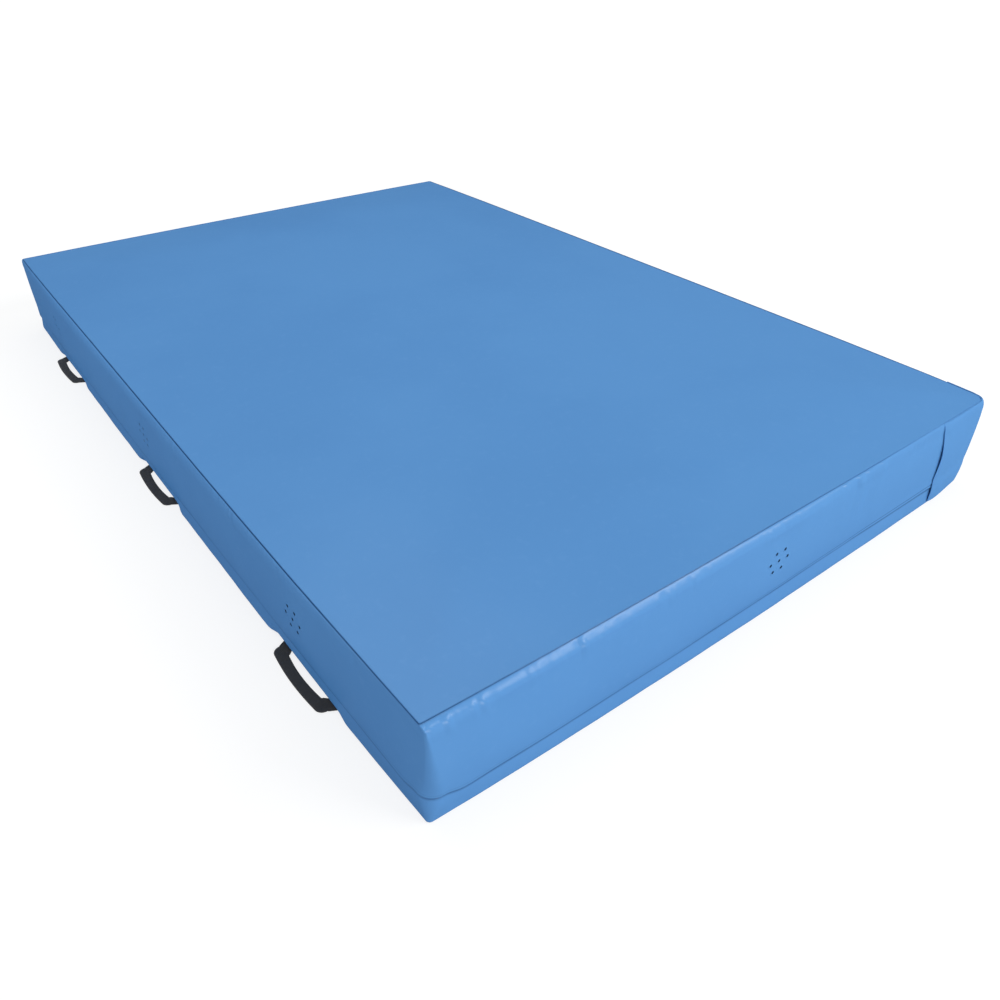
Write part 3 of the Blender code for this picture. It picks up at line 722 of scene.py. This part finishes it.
def bandPoints(ring):
    u, length, form = ring.arc, ring.length, ring.shape()
    gather = gatherShare(ring)
    pucker = waves(u, length, [(0.019, 0.5), (0.027, 0.6), (0.041, 0.5), (0.066, 0.5)], 11)
    patch = np.clip(0.55 + 0.6 * waves(u, length, [(0.31, 0.6), (0.12, 0.5)], 12), 0, 1.3)
    x = ring.frontX
    hemWave = hemRise(ring)
    hemStand = 0.0006 * waves(u, length, [(0.7, 0.6), (0.33, 0.5)], 14)
    calm = 1 - 0.8 * form["eased"]
    low = mat["hemLow"]
    sections = []
    for stand, z in bandSet["hemRows"]:
        sections.append((form["hem"] + stand + hemStand, low + z + hemWave))
    wall = np.concatenate([low + np.array(bandSet["stitchRows"]),
                           np.linspace(low + bandSet["wallStart"], mat["rollStart"], bandSet["wallRows"])])
    stitched = bandSet["stitchRows"][bandSet["stitchRow"]]
    onWall, onRoll = bandSet["pucker"]
    crease = np.where(ring.onFront, np.interp(x, [-0.2, 0.3], [0.0002, 0.0011]), 0.0002)
    for z in wall:
        fade = smooth((z - low) / 0.05)
        stand = wallStand(form, z) + hemStand * (1 - fade)
        swell = waves(u + 0.35 * z, length, [(0.8, 0.6), (0.37, 0.5), (0.2, 0.25)], 15)
        stand = stand + bandSet["swell"] * calm * fade * swell
        stand = stand - crease * math.exp(-((z - low - stitched) / 0.0018) ** 2)
        drop = math.exp(-(mat["rollStart"] - z) / bandSet["puckerReach"])
        stand = stand + onWall * drop * gather * patch * pucker
        sections.append((stand, z + hemWave * (1 - smooth((z - low) / 0.06))))
    nearCorner = np.where(ring.side == 3, smooth((-1.455 - ring.place) / 0.03) * (1 - ring.bend), 0)
    for i, share in enumerate(rollShares):
        stand, z = rollPoint(form, i)
        turn = share * math.pi / 2
        ripple = math.sin(min(1.0, share * 1.1) * math.pi) ** 0.7
        shift = onRoll * ripple * gather * patch * pucker
        for at, width, height in bandSet["tucks"]:
            shift = shift + np.where(ring.onFront, height * ripple * np.exp(-((x - at) / width) ** 2), 0)
        shift = shift - bandSet["nearTuck"] * nearCorner * np.exp(-((z - 0.2885) / 0.0030) ** 2)
        sections.append((stand + shift * math.cos(turn), z + shift * math.sin(turn)))
    for stand, z in bandSet["seamRows"]:
        sections.append((form["seam"] + stand, mat["height"] + z + 0 * u))
    points = []
    for stand, z in sections:
        z = np.broadcast_to(z, u.shape).astype(float)
        for at, width, height, foot, lean in bandSet["folds"]:
            gap = (x - at - lean * (mat["height"] - z)) / (width * (1 + 1.2 * (mat["height"] - z) / 0.2))
            reach = smooth((z - foot) / 0.12) * (1 - smooth((z - 0.285) / 0.014))
            stand = stand + np.where(ring.onFront, height * np.exp(-gap ** 2) * reach, 0)
        xy = ring.wrap(stand, cornerRadii(float(np.mean(z))))
        points.append(np.column_stack([xy, z]))
    # painted shade for the crease attribute: the hem, the stitched crease above it and the top seam
    shadeShares = np.zeros((len(points), len(u)))
    hem, seam = (np.array(bandSet[key])[:, None] for key in ("hemShade", "seamShade"))
    shadeShares[:len(hem)] = hem
    # painted shade along the stitched crease, stronger on the right of the front
    line = len(bandSet["hemRows"]) + bandSet["stitchRow"]
    shadeShares[line] = np.where(ring.onFront, np.interp(x, [-0.2, 0.3], [0.15, 0.75]), 0.15)
    shadeShares[-len(seam):] = seam * seamShadeShare(ring.side, ring.place)
    return np.array(points), shadeShares  # rows, columns, xyz


ventSlide = dict(front=0.011)  # the holes sit a little off the net's middle
ventNodes = [name for name in cadNodes if name.startswith("vent_mesh")]


def ventSpots():  # net, side, place along it, height
    spots = []
    for name in ventNodes:
        low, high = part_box(name)
        middle = (low + high) / 2
        if abs(middle.x) > 0.9:
            spots.append((name, "right" if middle.x > 0 else "left", middle.y, middle.z))
        else:
            spots.append((name, "rear" if middle.y > 0 else "front", middle.x, middle.z))
    return spots


def ringSpots():
    turns = np.arange(6) * math.pi / 3
    radius = bandSet["ringRadius"]
    return [(0.0, 0.0)] + [(radius * math.cos(turn), radius * math.sin(turn)) for turn in turns]


def localPlace(points, side, at, height):  # along the wall, up, and which points are there
    onSide = points[:, :2] @ np.array(sideOut[side]) > halfDepth(side) - 0.01
    return points[:, sideAxis[side]] - at, points[:, 2] - height, onSide


def ventFaces(band, spots, test):  # selects the faces near the vents that pass the test
    centre = faceCentres(band)
    chosen = np.zeros(len(centre), bool)
    for spot in spots:
        a, b, onSide = localPlace(centre, *spot)
        chosen |= onSide & test(a, b)
    selectFaces(band, chosen)


def punchVents(band):
    radius, holes = bandSet["holeRadius"], ringSpots()
    spots = [(side, at + ventSlide.get(side, 0), height) for _, side, at, height in ventSpots()]
    field = bandSet["ringRadius"] + 2.2 * radius
    ventFaces(band, spots, lambda a, b: (np.abs(a) < field) & (np.abs(b) < field))
    bpy.ops.mesh.subdivide(number_cuts=3)
    setMode("OBJECT")
    ventFaces(band, spots,
              lambda a, b: np.any([np.hypot(a - da, b - db) < radius for da, db in holes], axis=0))
    bpy.ops.mesh.delete(type="FACE")
    bpy.ops.mesh.select_mode(type="EDGE")
    bpy.ops.mesh.select_all(action="DESELECT")
    bpy.ops.mesh.select_non_manifold(extend=False, use_wire=False, use_boundary=True,
                                     use_multi_face=False, use_non_contiguous=False, use_verts=False)
    setMode("OBJECT")
    points = getPoints(band)
    rim = np.empty(len(points), bool)
    band.data.vertices.foreach_get("select", rim)
    for side, at, height in spots:
        a, b, onSide = localPlace(points, side, at, height)
        out = np.array([*sideOut[side], 0.0])
        for da, db in holes:
            reach = np.hypot(a - da, b - db)
            edge = onSide & rim & (reach < radius * 1.8)
            points[edge, sideAxis[side]] = at + da + (a - da)[edge] / reach[edge] * radius
            points[edge, 2] = height + db + (b - db)[edge] / reach[edge] * radius
            reach[edge] = radius
            near = onSide & (reach < radius * 2.2)
            turn = np.clip((reach - radius * 0.8) / (radius * 1.1), 0, 1) * math.pi
            points[near] += out * (bandSet["rimRise"] * np.sin(turn))[near, None]
    setPoints(band, points)


def makeBand():
    ring = Outline(bandSet["step"], bandSet["cornerCount"])
    points, shadeShares = bandPoints(ring)
    band, column, row = sheetPiece("coverBand", points)
    setShare(band, "crease", shadeShares[row, column])
    editMesh(band, mergeDoubles)
    punchVents(band)
    finishPiece(band, coverFinish, "mat", "cover_blue", "side_band")
    return band, ring, points


coverBand, bandRing, bandShape = makeBand()
print("side band made:", len(coverBand.data.polygons), "faces")


# top sheet

topSet = dict(
    cell=0.0150,
    edgeRows=[0.0, 0.0006, 0.0012, 0.0019, 0.0030, 0.0052, 0.0095, 0.0170, 0.0280],
    crown=0.0110,
    crownReach=0.34,
    swell=0.0011,  # long low waves, none at the edge
    swellReach=0.12,
    pucker=0.00035,  # fine waves along the seam
    puckerReach=0.030,
    seamDrop=0.0060,
    seamTuck=0.0004,  # how far inside the band its edge ends
    cornerLevel=0.297,
    groove=0.0013,  # how far from the seam the sheet is level again
)


def edgeSteps(half, edge, margin, count):  # closer together in the margins
    inner = half - margin
    return np.concatenate([-half + edge, np.linspace(-inner, inner, count), (half - edge)[::-1]])


def roundedCorner(x, y, halfX, halfY, z):  # how far the corner draws a point in, at that height
    rightR, plainR, _, nearR = cornerRadii(z)
    radius = np.where(y > 0, plainR, np.where(x > 0, rightR, nearR))
    inX, inY = (np.maximum(radius - (half - np.abs(v)), 0) for v, half in ((x, halfX), (y, halfY)))
    both = (inX > 0) & (inY > 0)
    squeeze = np.where(both, np.maximum(inX, inY) / np.maximum(np.hypot(inX, inY), 1e-9), 1)
    return inX * (1 - squeeze), inY * (1 - squeeze)


def makeTop():
    *edge, margin = topSet["edgeRows"]
    xs, ys = (edgeSteps(half, np.array(edge), margin, int(round(2 * (half - margin) / topSet["cell"])) + 1)
              for half in (mat["halfX"], mat["halfY"]))
    top, column, row = gridPiece("coverTop", len(xs) - 1, len(ys) - 1)
    x, y = xs[column], ys[row]
    dx, dy = mat["halfX"] - np.abs(x), mat["halfY"] - np.abs(y)
    inner = np.minimum(dx, dy)
    pullX, pullY = roundedCorner(x, y, mat["halfX"], mat["halfY"], topSet["cornerLevel"])
    seamX = np.where(x > 0, shapeAt("right", "seam", y), shapeAt("left", "seam", y)) - topSet["seamTuck"]
    seamY = np.where(y > 0, shapeAt("rear", "seam", x), shapeAt("front", "seam", x)) - topSet["seamTuck"]
    px = x + np.sign(x) * (seamX * np.abs(x / mat["halfX"]) ** 3 - pullX)
    py = y + np.sign(y) * (seamY * np.abs(y / mat["halfY"]) ** 3 - pullY)
    onFront = (y < 0) & (dy < dx)
    drop = topSet["seamDrop"] * (1 - np.where(onFront, 0.7 * shapeAt("front", "eased", x), 0))
    z = mat["height"] - drop * np.exp(-(inner / topSet["groove"]) ** 1.8)
    z += topSet["crown"] * smooth(inner / topSet["crownReach"]) ** 0.8
    calm = smooth(inner / topSet["swellReach"])
    swell = (np.sin(x * 5.1 + y * 1.7 + 0.6) + np.sin(y * 4.3 - x * 2.2 + 2.1)
             + 0.6 * np.sin(x * 11.3 + 4.0) * np.sin(y * 9.1 + 1.2))
    z += topSet["swell"] * calm * swell
    edgeRun = np.where(dx < dy, y, x)
    fine = np.sin(edgeRun * 150 + 2 * np.sin(edgeRun * 13)) * (0.5 + 0.5 * np.sin(edgeRun * 7.7 + 1.0))
    z += topSet["pucker"] * fine * np.exp(-inner / topSet["puckerReach"]) * smooth(inner / 0.004)
    setPoints(top, np.column_stack([px, py, z]))
    side = np.where(dx < dy, np.where(x > 0, 1, 3), np.where(y > 0, 2, 0))
    # painted shade along the seam groove at the top sheet's edge
    setShare(top, "crease", np.exp(-(inner / topSet["groove"]) ** 2) * seamShadeShare(side, edgeRun))
    return finishPiece(top, coverFinish, "mat", "cover_blue", "top_sheet")


coverTop = makeTop()
print("top sheet made")


# lower strip and base sheet

stripSet = dict(
    step=0.010,
    cornerCount=8,
    sag=0.0006,
    # height, then how much of the foot's and of the hem's stand it takes, and what is added
    profile=[(0.0012, 0.0, 0.0, -0.0060), (0.0013, 0.0, 0.0, -0.0010), (0.0018, 0.45, 0.0, 0.0),
             (0.0045, 0.80, 0.0, 0.0), (0.0100, 0.97, 0.0, 0.0), (0.0180, 0.92, 0.08, -0.0002),
             (0.0280, 0.66, 0.34, -0.0008), (0.0380, 0.33, 0.67, -0.0014), (0.0480, 0.10, 0.90, -0.0020),
             (0.0550, 0.0, 1.0, -0.0024), (0.0592, 0.0, 1.0, -0.0025), (0.0612, 0.0, 1.0, -0.0034)],
    gutter=[(0.0614, 0.0075), (0.0606, 0.0062), (0.0540, 0.0054), (0.0535, 0.0018), (0.0662, 0.0016)],
    loopHalf=0.150,
    lift=0.0030,  # over the webbing
    lean=(0.0028, 0.44),  # a raised loop lies against this slope
)
loopPlaces = [-1.0, 0.0, 1.0]


def makeStrip():
    ring = Outline(stripSet["step"], stripSet["cornerCount"])
    form = ring.shape()
    atLoop = np.zeros_like(ring.arc)
    for side in ("left", "right"):
        here = (ring.side == sideList.index(side)) & (ring.turn == 0)
        for at in loopPlaces:
            gap = np.abs(ring.place - at)
            atLoop = np.maximum(atLoop, np.where(here, 1 - smooth((gap - stripSet["loopHalf"]) / 0.05), 0))
    rows = []
    rise = hemRise(ring)
    sag = stripSet["sag"] * waves(ring.arc, ring.length, [(0.6, 0.6), (0.27, 0.5), (0.11, 0.3)], 21)
    start, slope = stripSet["lean"]
    for z, foot, hem, more in stripSet["profile"]:
        loose = smooth(z / 0.012) * smooth((0.060 - z) / 0.03)
        full = form["foot"] * foot + form["hem"] * hem + more + sag * loose
        lifted = stripSet["lift"] * atLoop * (1 - smooth((z - 0.004) / 0.02))
        height = z + lifted + rise * smooth((z - 0.030) / 0.025)
        limit = start + slope * height
        full = np.where(full > limit, full + (limit - full) * atLoop, full)
        rows.append(np.column_stack([ring.wrap(full, cornerRadii(z)), height]))
    for z, stand in stripSet["gutter"]:  # turned in over the zip's lower tape
        full = np.minimum(stand, form["hem"] - 0.0045 - (0.0075 - stand) * 0.3)
        rows.append(np.column_stack([ring.wrap(full, cornerRadii(z)), z + rise]))
    strip, column, row = sheetPiece("coverStrip", np.array(rows))
    count = len(stripSet["profile"])
    # painted shade on the strip's rows that turn in under the hem
    setShare(strip, "crease", np.interp(row, [count - 3, count - 2, count - 1], [0.0, 0.45, 1.0]))
    editMesh(strip, mergeDoubles)
    applyModifier(strip, "SUBSURF", "soften", levels=1, render_levels=1)
    return finishPiece(strip, coverFinish, "mat", "cover_blue", "lower_strip")


baseSet = dict(inset=0.004, margin=0.1, edgeStep=0.008, edgeCount=12, cells=(40, 60), foot=0.0004,
               billow=0.0003)


def makeBase():
    halfX, halfY = (mat[key] - baseSet["inset"] for key in ("halfX", "halfY"))
    edge = baseSet["edgeStep"] * np.arange(baseSet["edgeCount"])
    xs, ys = (edgeSteps(half, edge, baseSet["margin"], count)
              for half, count in zip((halfX, halfY), baseSet["cells"]))
    base, column, row = gridPiece("coverBase", len(xs) - 1, len(ys) - 1)
    x, y = xs[column], ys[row]
    edge = np.minimum(halfX - np.abs(x), halfY - np.abs(y))
    pullX, pullY = roundedCorner(x, y, halfX, halfY, 0.0)
    x, y = x - np.sign(x) * pullX, y - np.sign(y) * pullY
    billow = baseSet["billow"] * (1 + np.sin(x * 9 + y * 2) * np.sin(y * 7 - x))
    z = baseSet["foot"] + billow * smooth(edge / baseSet["margin"])
    setPoints(base, np.column_stack([x, y, z]))
    editMesh(base, lambda: bpy.ops.mesh.flip_normals())
    return finishPiece(base, underFinish, "mat", "cover_blue", "base_sheet")


coverStrip = makeStrip()
coverBase = makeBase()
print("lower strip and base made")


# corner flap: one cloth from the right side round the corner to its free edge

flapSet = dict(
    foot=0.016,
    footRise=0.014,  # at the corner the mat lifts a little
    footRows=[0.018, 0.028, 0.038, 0.047, 0.055, 0.0635],
    wallStart=0.074,
    wallRows=20,
    rollRows=8,
    edgeSteps=[0, 0.0012, 0.004, 0.009, 0.016, 0.026, 0.04],  # from the free edge
    # heights, and the corner's radius there
    radii=([0.010, 0.030, 0.064, 0.130, 0.250, 0.300], [0.054, 0.044, 0.035, 0.028, 0.026, 0.029]),
    freeTop=0.749,  # x of the free edge at the top and at the floor
    freeFoot=0.800,
    wrapEnd=-1.372,  # y where it ends on the right side
    lift=(0.0055, 0.0027),  # its face above the band, over the fastener and at the corner
    gape=0.0032,
    thickness=0.0016,
    hinge=0.98,
    soft=0.030,
)


def flapStand(row, side, place):  # stand and height of the cloth's outer face
    form = {key: shapeAt(side, key, place) for key in shapeKeys}
    kind, level = row
    near, corner = flapSet["lift"]
    lift = near + (corner - near) * (smooth((place - 0.815) / 0.14) if side == "front" else 1.0)
    if kind == "roll":
        stand, z = rollPoint(form, level)
        ease = 1 - 0.75 * level / flapSet["rollRows"]
        return stand + lift * ease, z + 0.0012 * (level + 1) / bandSet["rollRows"]
    if kind == "wall":
        return wallStand(form, level) + lift, level + 0 * place
    share = (level - flapSet["foot"]) / (mat["hemLow"] - flapSet["foot"])
    return (form["foot"] - 0.0010) * (1 - share) + form["hem"] * share + lift, level + 0 * place


def makeFlap():
    rows = [("foot", z) for z in (flapSet["foot"], *flapSet["footRows"])]
    rows += [("wall", z) for z in np.linspace(flapSet["wallStart"], mat["rollStart"], flapSet["wallRows"])]
    rows += [("roll", i) for i in range(flapSet["rollRows"])]
    pieces = []
    for row in rows:
        frontEnd, level = flapStand(row, "front", np.array([1.0]))
        rightEnd, _ = flapStand(row, "right", np.array([-1.5]))
        radius = float(np.interp(level[0], *flapSet["radii"]))
        rise = 0.0
        if row[0] == "foot":
            up = (row[1] - flapSet["foot"]) / (mat["hemLow"] - flapSet["foot"])
            rise = flapSet["footRise"] * (1 - up)
        heart = np.array([mat["halfX"] + rightEnd[0] - radius, -mat["halfY"] - frontEnd[0] + radius])
        height = (float(level[0]) - flapSet["foot"]) / (mat["rollTop"] - flapSet["foot"])
        edge = flapSet["freeFoot"] + (flapSet["freeTop"] - flapSet["freeFoot"]) * height
        front = np.concatenate([edge + np.array(flapSet["edgeSteps"]),
                                np.linspace(edge + 0.055, heart[0], 18)])
        gape = flapSet["gape"] * (math.exp(-((height - 0.60) / 0.17) ** 2)
                                  + 0.4 * math.exp(-((height - 0.14) / 0.06) ** 2)) - 0.0027
        stand, z = flapStand(row, "front", front)
        stand = stand + gape * np.exp(-((front - edge) / 0.012) ** 1.5)
        line = list(zip(front, -mat["halfY"] - stand, z + rise * smooth((front - 0.83) / 0.16)))
        for turn in np.linspace(0, math.pi / 2, 11)[1:-1]:
            line.append((heart[0] + radius * math.sin(turn), heart[1] - radius * math.cos(turn),
                         level[0] + rise))
        side = np.linspace(heart[1], flapSet["wrapEnd"], 9)
        stand, z = flapStand(row, "right", side)
        stand[0] = rightEnd[0]
        line += list(zip(mat["halfX"] + stand, side, z + rise * (1 - smooth((side - heart[1]) / 0.12))))
        pieces.append(line)
    flap, _, _ = sheetPiece("cornerFlap", np.array(pieces))
    applyModifier(flap, "SOLIDIFY", "twoLayers", thickness=flapSet["thickness"], offset=-1.0)
    finishPiece(flap, coverFinish, None, "cover_blue", "corner_panel", "corner_flap", angle=45)
    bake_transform(flap)
    return flap


cornerFlap = makeFlap()
print("corner flap made")


# carrying loops of flat webbing

loopSet = dict(
    hinge=(1.007, 0.0025),  # out from the middle, and up
    footHalf=0.1375,
    gripHalf=0.1255,
    leg=0.043,
    band=0.028,
    reach=0.046,
    bow=0.006,
    outerCorner=0.022,
    innerCorner=0.004,
    thickness=0.0023,
    selvedge=0.0006,
    wave=0.00030,
    across=6,
)


def arcPoints(cx, cy, radius, first, last, count):
    turns = np.radians(np.linspace(first, last, count))
    return np.column_stack([cx + radius * np.cos(turns), cy + radius * np.sin(turns)])


def loopEdge(foot, legEnd, half, level, radius):  # one half, along and out from the hinge
    leg = np.linspace((foot, -0.0012), (legEnd, level - radius), 8, endpoint=False)
    turn = arcPoints(half - radius, level - radius, radius, 0, 84, 12)
    a = np.linspace(half - radius, 0, 22)[1:]
    grip = np.column_stack([a, level + loopSet["bow"] * (1 - (a / (half - radius)) ** 2)])
    edge = np.concatenate([leg, turn, grip])
    return np.concatenate([edge, (edge * (-1, 1))[-2::-1]])


def makeLoop(side, place, at):
    s = loopSet
    shoulder = s["reach"] - s["bow"]
    inHalf = s["gripHalf"] - s["leg"] + 0.003
    outer = loopEdge(s["footHalf"], s["gripHalf"] + 0.001, s["gripHalf"], shoulder, s["outerCorner"])
    inner = loopEdge(s["footHalf"] - s["leg"], inHalf, inHalf, shoulder - s["band"], s["innerCorner"])
    across = loopSet["across"]
    loop, column, row = gridPiece(f"carryLoop_{side}_{place}", len(outer) - 1, across)
    share = row / across
    flat = inner[column] * (1 - share)[:, None] + outer[column] * share[:, None]
    sign = 1 if side == "right" else -1
    x = sign * (loopSet["hinge"][0] + flat[:, 1])
    y = at - sign * flat[:, 0]
    wave = loopSet["wave"] * np.sin(flat[:, 0] * 41 + at * 9) * smooth(flat[:, 1] / 0.02)
    setPoints(loop, np.column_stack([x, y, loopSet["hinge"][1] + wave]))
    editMesh(loop, lambda: bpy.ops.mesh.normals_make_consistent(inside=False))
    applyModifier(loop, "SOLIDIFY", "ply", thickness=loopSet["thickness"], offset=0.0)
    applyModifier(loop, "BEVEL", "selvedge", width=loopSet["selvedge"], segments=2, limit_method="ANGLE",
                  angle_limit=math.radians(50))
    finishPiece(loop, webbingFinish, f"loop_{side}_{place}", "webbing_black",
                f"carry_loop_{side}_{place}", angle=45)


for side in ("left", "right"):
    for place, at in zip(("front", "middle", "rear"), loopPlaces):
        makeLoop(side, place, at)
print("carrying loops made")


# tapes sewn behind the band, from the zip or from the strip's edge

tapeSet = dict(
    step=0.020,
    cornerCount=6,
    stand=0.0004,  # of the flat part
    behind=(0.0022, 0.0018),  # the wall: where it is sewn, and at the least
    # rows: height, and the share of the wall's stand
    upper=[(0.0843, 0.0), (0.0900, 0.1), (0.1000, 0.5), (0.1090, 1.0)],
    lower=[(0.0505, 0.0), (0.0600, 0.0), (0.0765, 0.0)],
    joined=[(0.0505, 0.0), (0.0640, 0.0), (0.0780, 0.0), (0.0900, 0.1), (0.1000, 0.5), (0.1090, 1.0)],
    ends=(0.935, 1.4734),  # where the zip ends, on the front and on the left
)


def makeTape(name, node, rows, zipped):
    ring = Outline(tapeSet["step"], tapeSet["cornerCount"])
    form = ring.shape()
    onZip = ((ring.side == 0) & (ring.place < tapeSet["ends"][0]) & (ring.turn == 0)) | (
        (ring.side == 3) & (ring.place < tapeSet["ends"][1]))
    flat, (sewn, least) = tapeSet["stand"], tapeSet["behind"]
    lines = []
    for z, share in rows:
        stand = flat + (wallStand(form, z) - sewn - flat) * share
        stand = np.minimum(stand, wallStand(form, z) - least)
        lines.append(np.column_stack([ring.wrap(stand, cornerRadii(z)), np.full(len(stand), z)]))
    order = list(np.nonzero(onZip if zipped else ~onZip)[0])
    gap = next((i for i in range(1, len(order)) if order[i] != order[i - 1] + 1), None)
    if gap:  # the run crosses the ring's own start
        order = order[gap:] + order[1:gap]
    points = np.array(lines)[:, order]
    tape, _, _ = sheetPiece(name, points)
    finishPiece(tape, tapeFinish, "mat", "zip_blue", node)


makeTape("zipTapeUpper", "zip_tape_upper", tapeSet["upper"], True)
makeTape("zipTapeLower", "zip_tape_lower", tapeSet["lower"], True)
makeTape("seamTape", "seam_tape", tapeSet["joined"], False)
print("tapes made")


# vent nets behind the holes

netSet = dict(cells=16, behind=0.0022)


def makeNet(name, side, at, height):
    low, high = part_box(name)
    half = (high.z - low.z) / 2
    net, column, row = gridPiece("ventNet" + name[len("vent_mesh"):], netSet["cells"], netSet["cells"])
    points = getPoints(net)
    a, b = points[:, 0] * 2 * half, points[:, 1] * 2 * half
    out, run = np.array(sideOut[side]), np.array(sideRun[side])
    sign = sideSign[side]
    onSide = (bandRing.side == sideList.index(side)) & (bandRing.turn == 0)
    below, above = len(bandSet["hemRows"]), bandSet["rollRows"] + len(bandSet["seamRows"])
    face = bandShape[below:-above, onSide]  # the wall's own rows
    place = face[0, :, :2] @ run
    depth = np.empty(len(a))
    for i in range(len(a)):
        nearest = np.argmin(np.abs(place - (sign * at + a[i])))
        depth[i] = np.interp(height + b[i], face[:, nearest, 2], face[:, nearest, :2] @ out)
    flat = out * (depth - netSet["behind"])[:, None] + run * (sign * at + a)[:, None]
    setPoints(net, np.column_stack([flat, height + b]))
    finishPiece(net, netFinish, "mat", "vent_mesh", name)


for name, side, at, height in ventSpots():
    makeNet(name, side, at, height)
print("vent nets made")


# what keeps its CAD shape gets its finish

keptLooks = dict(zip_teeth=toothFinish, zip_slider=metalFinish, zip_pull=metalFinish,
                 zip_stop=metalFinish, fastener=pileFinish, loop_anchor=anchorFinish)
for name, node in cadNodes.items():
    for start, finish in keptLooks.items():
        if name.startswith(start):
            for slot in node.material_slots:
                slot.material = finish
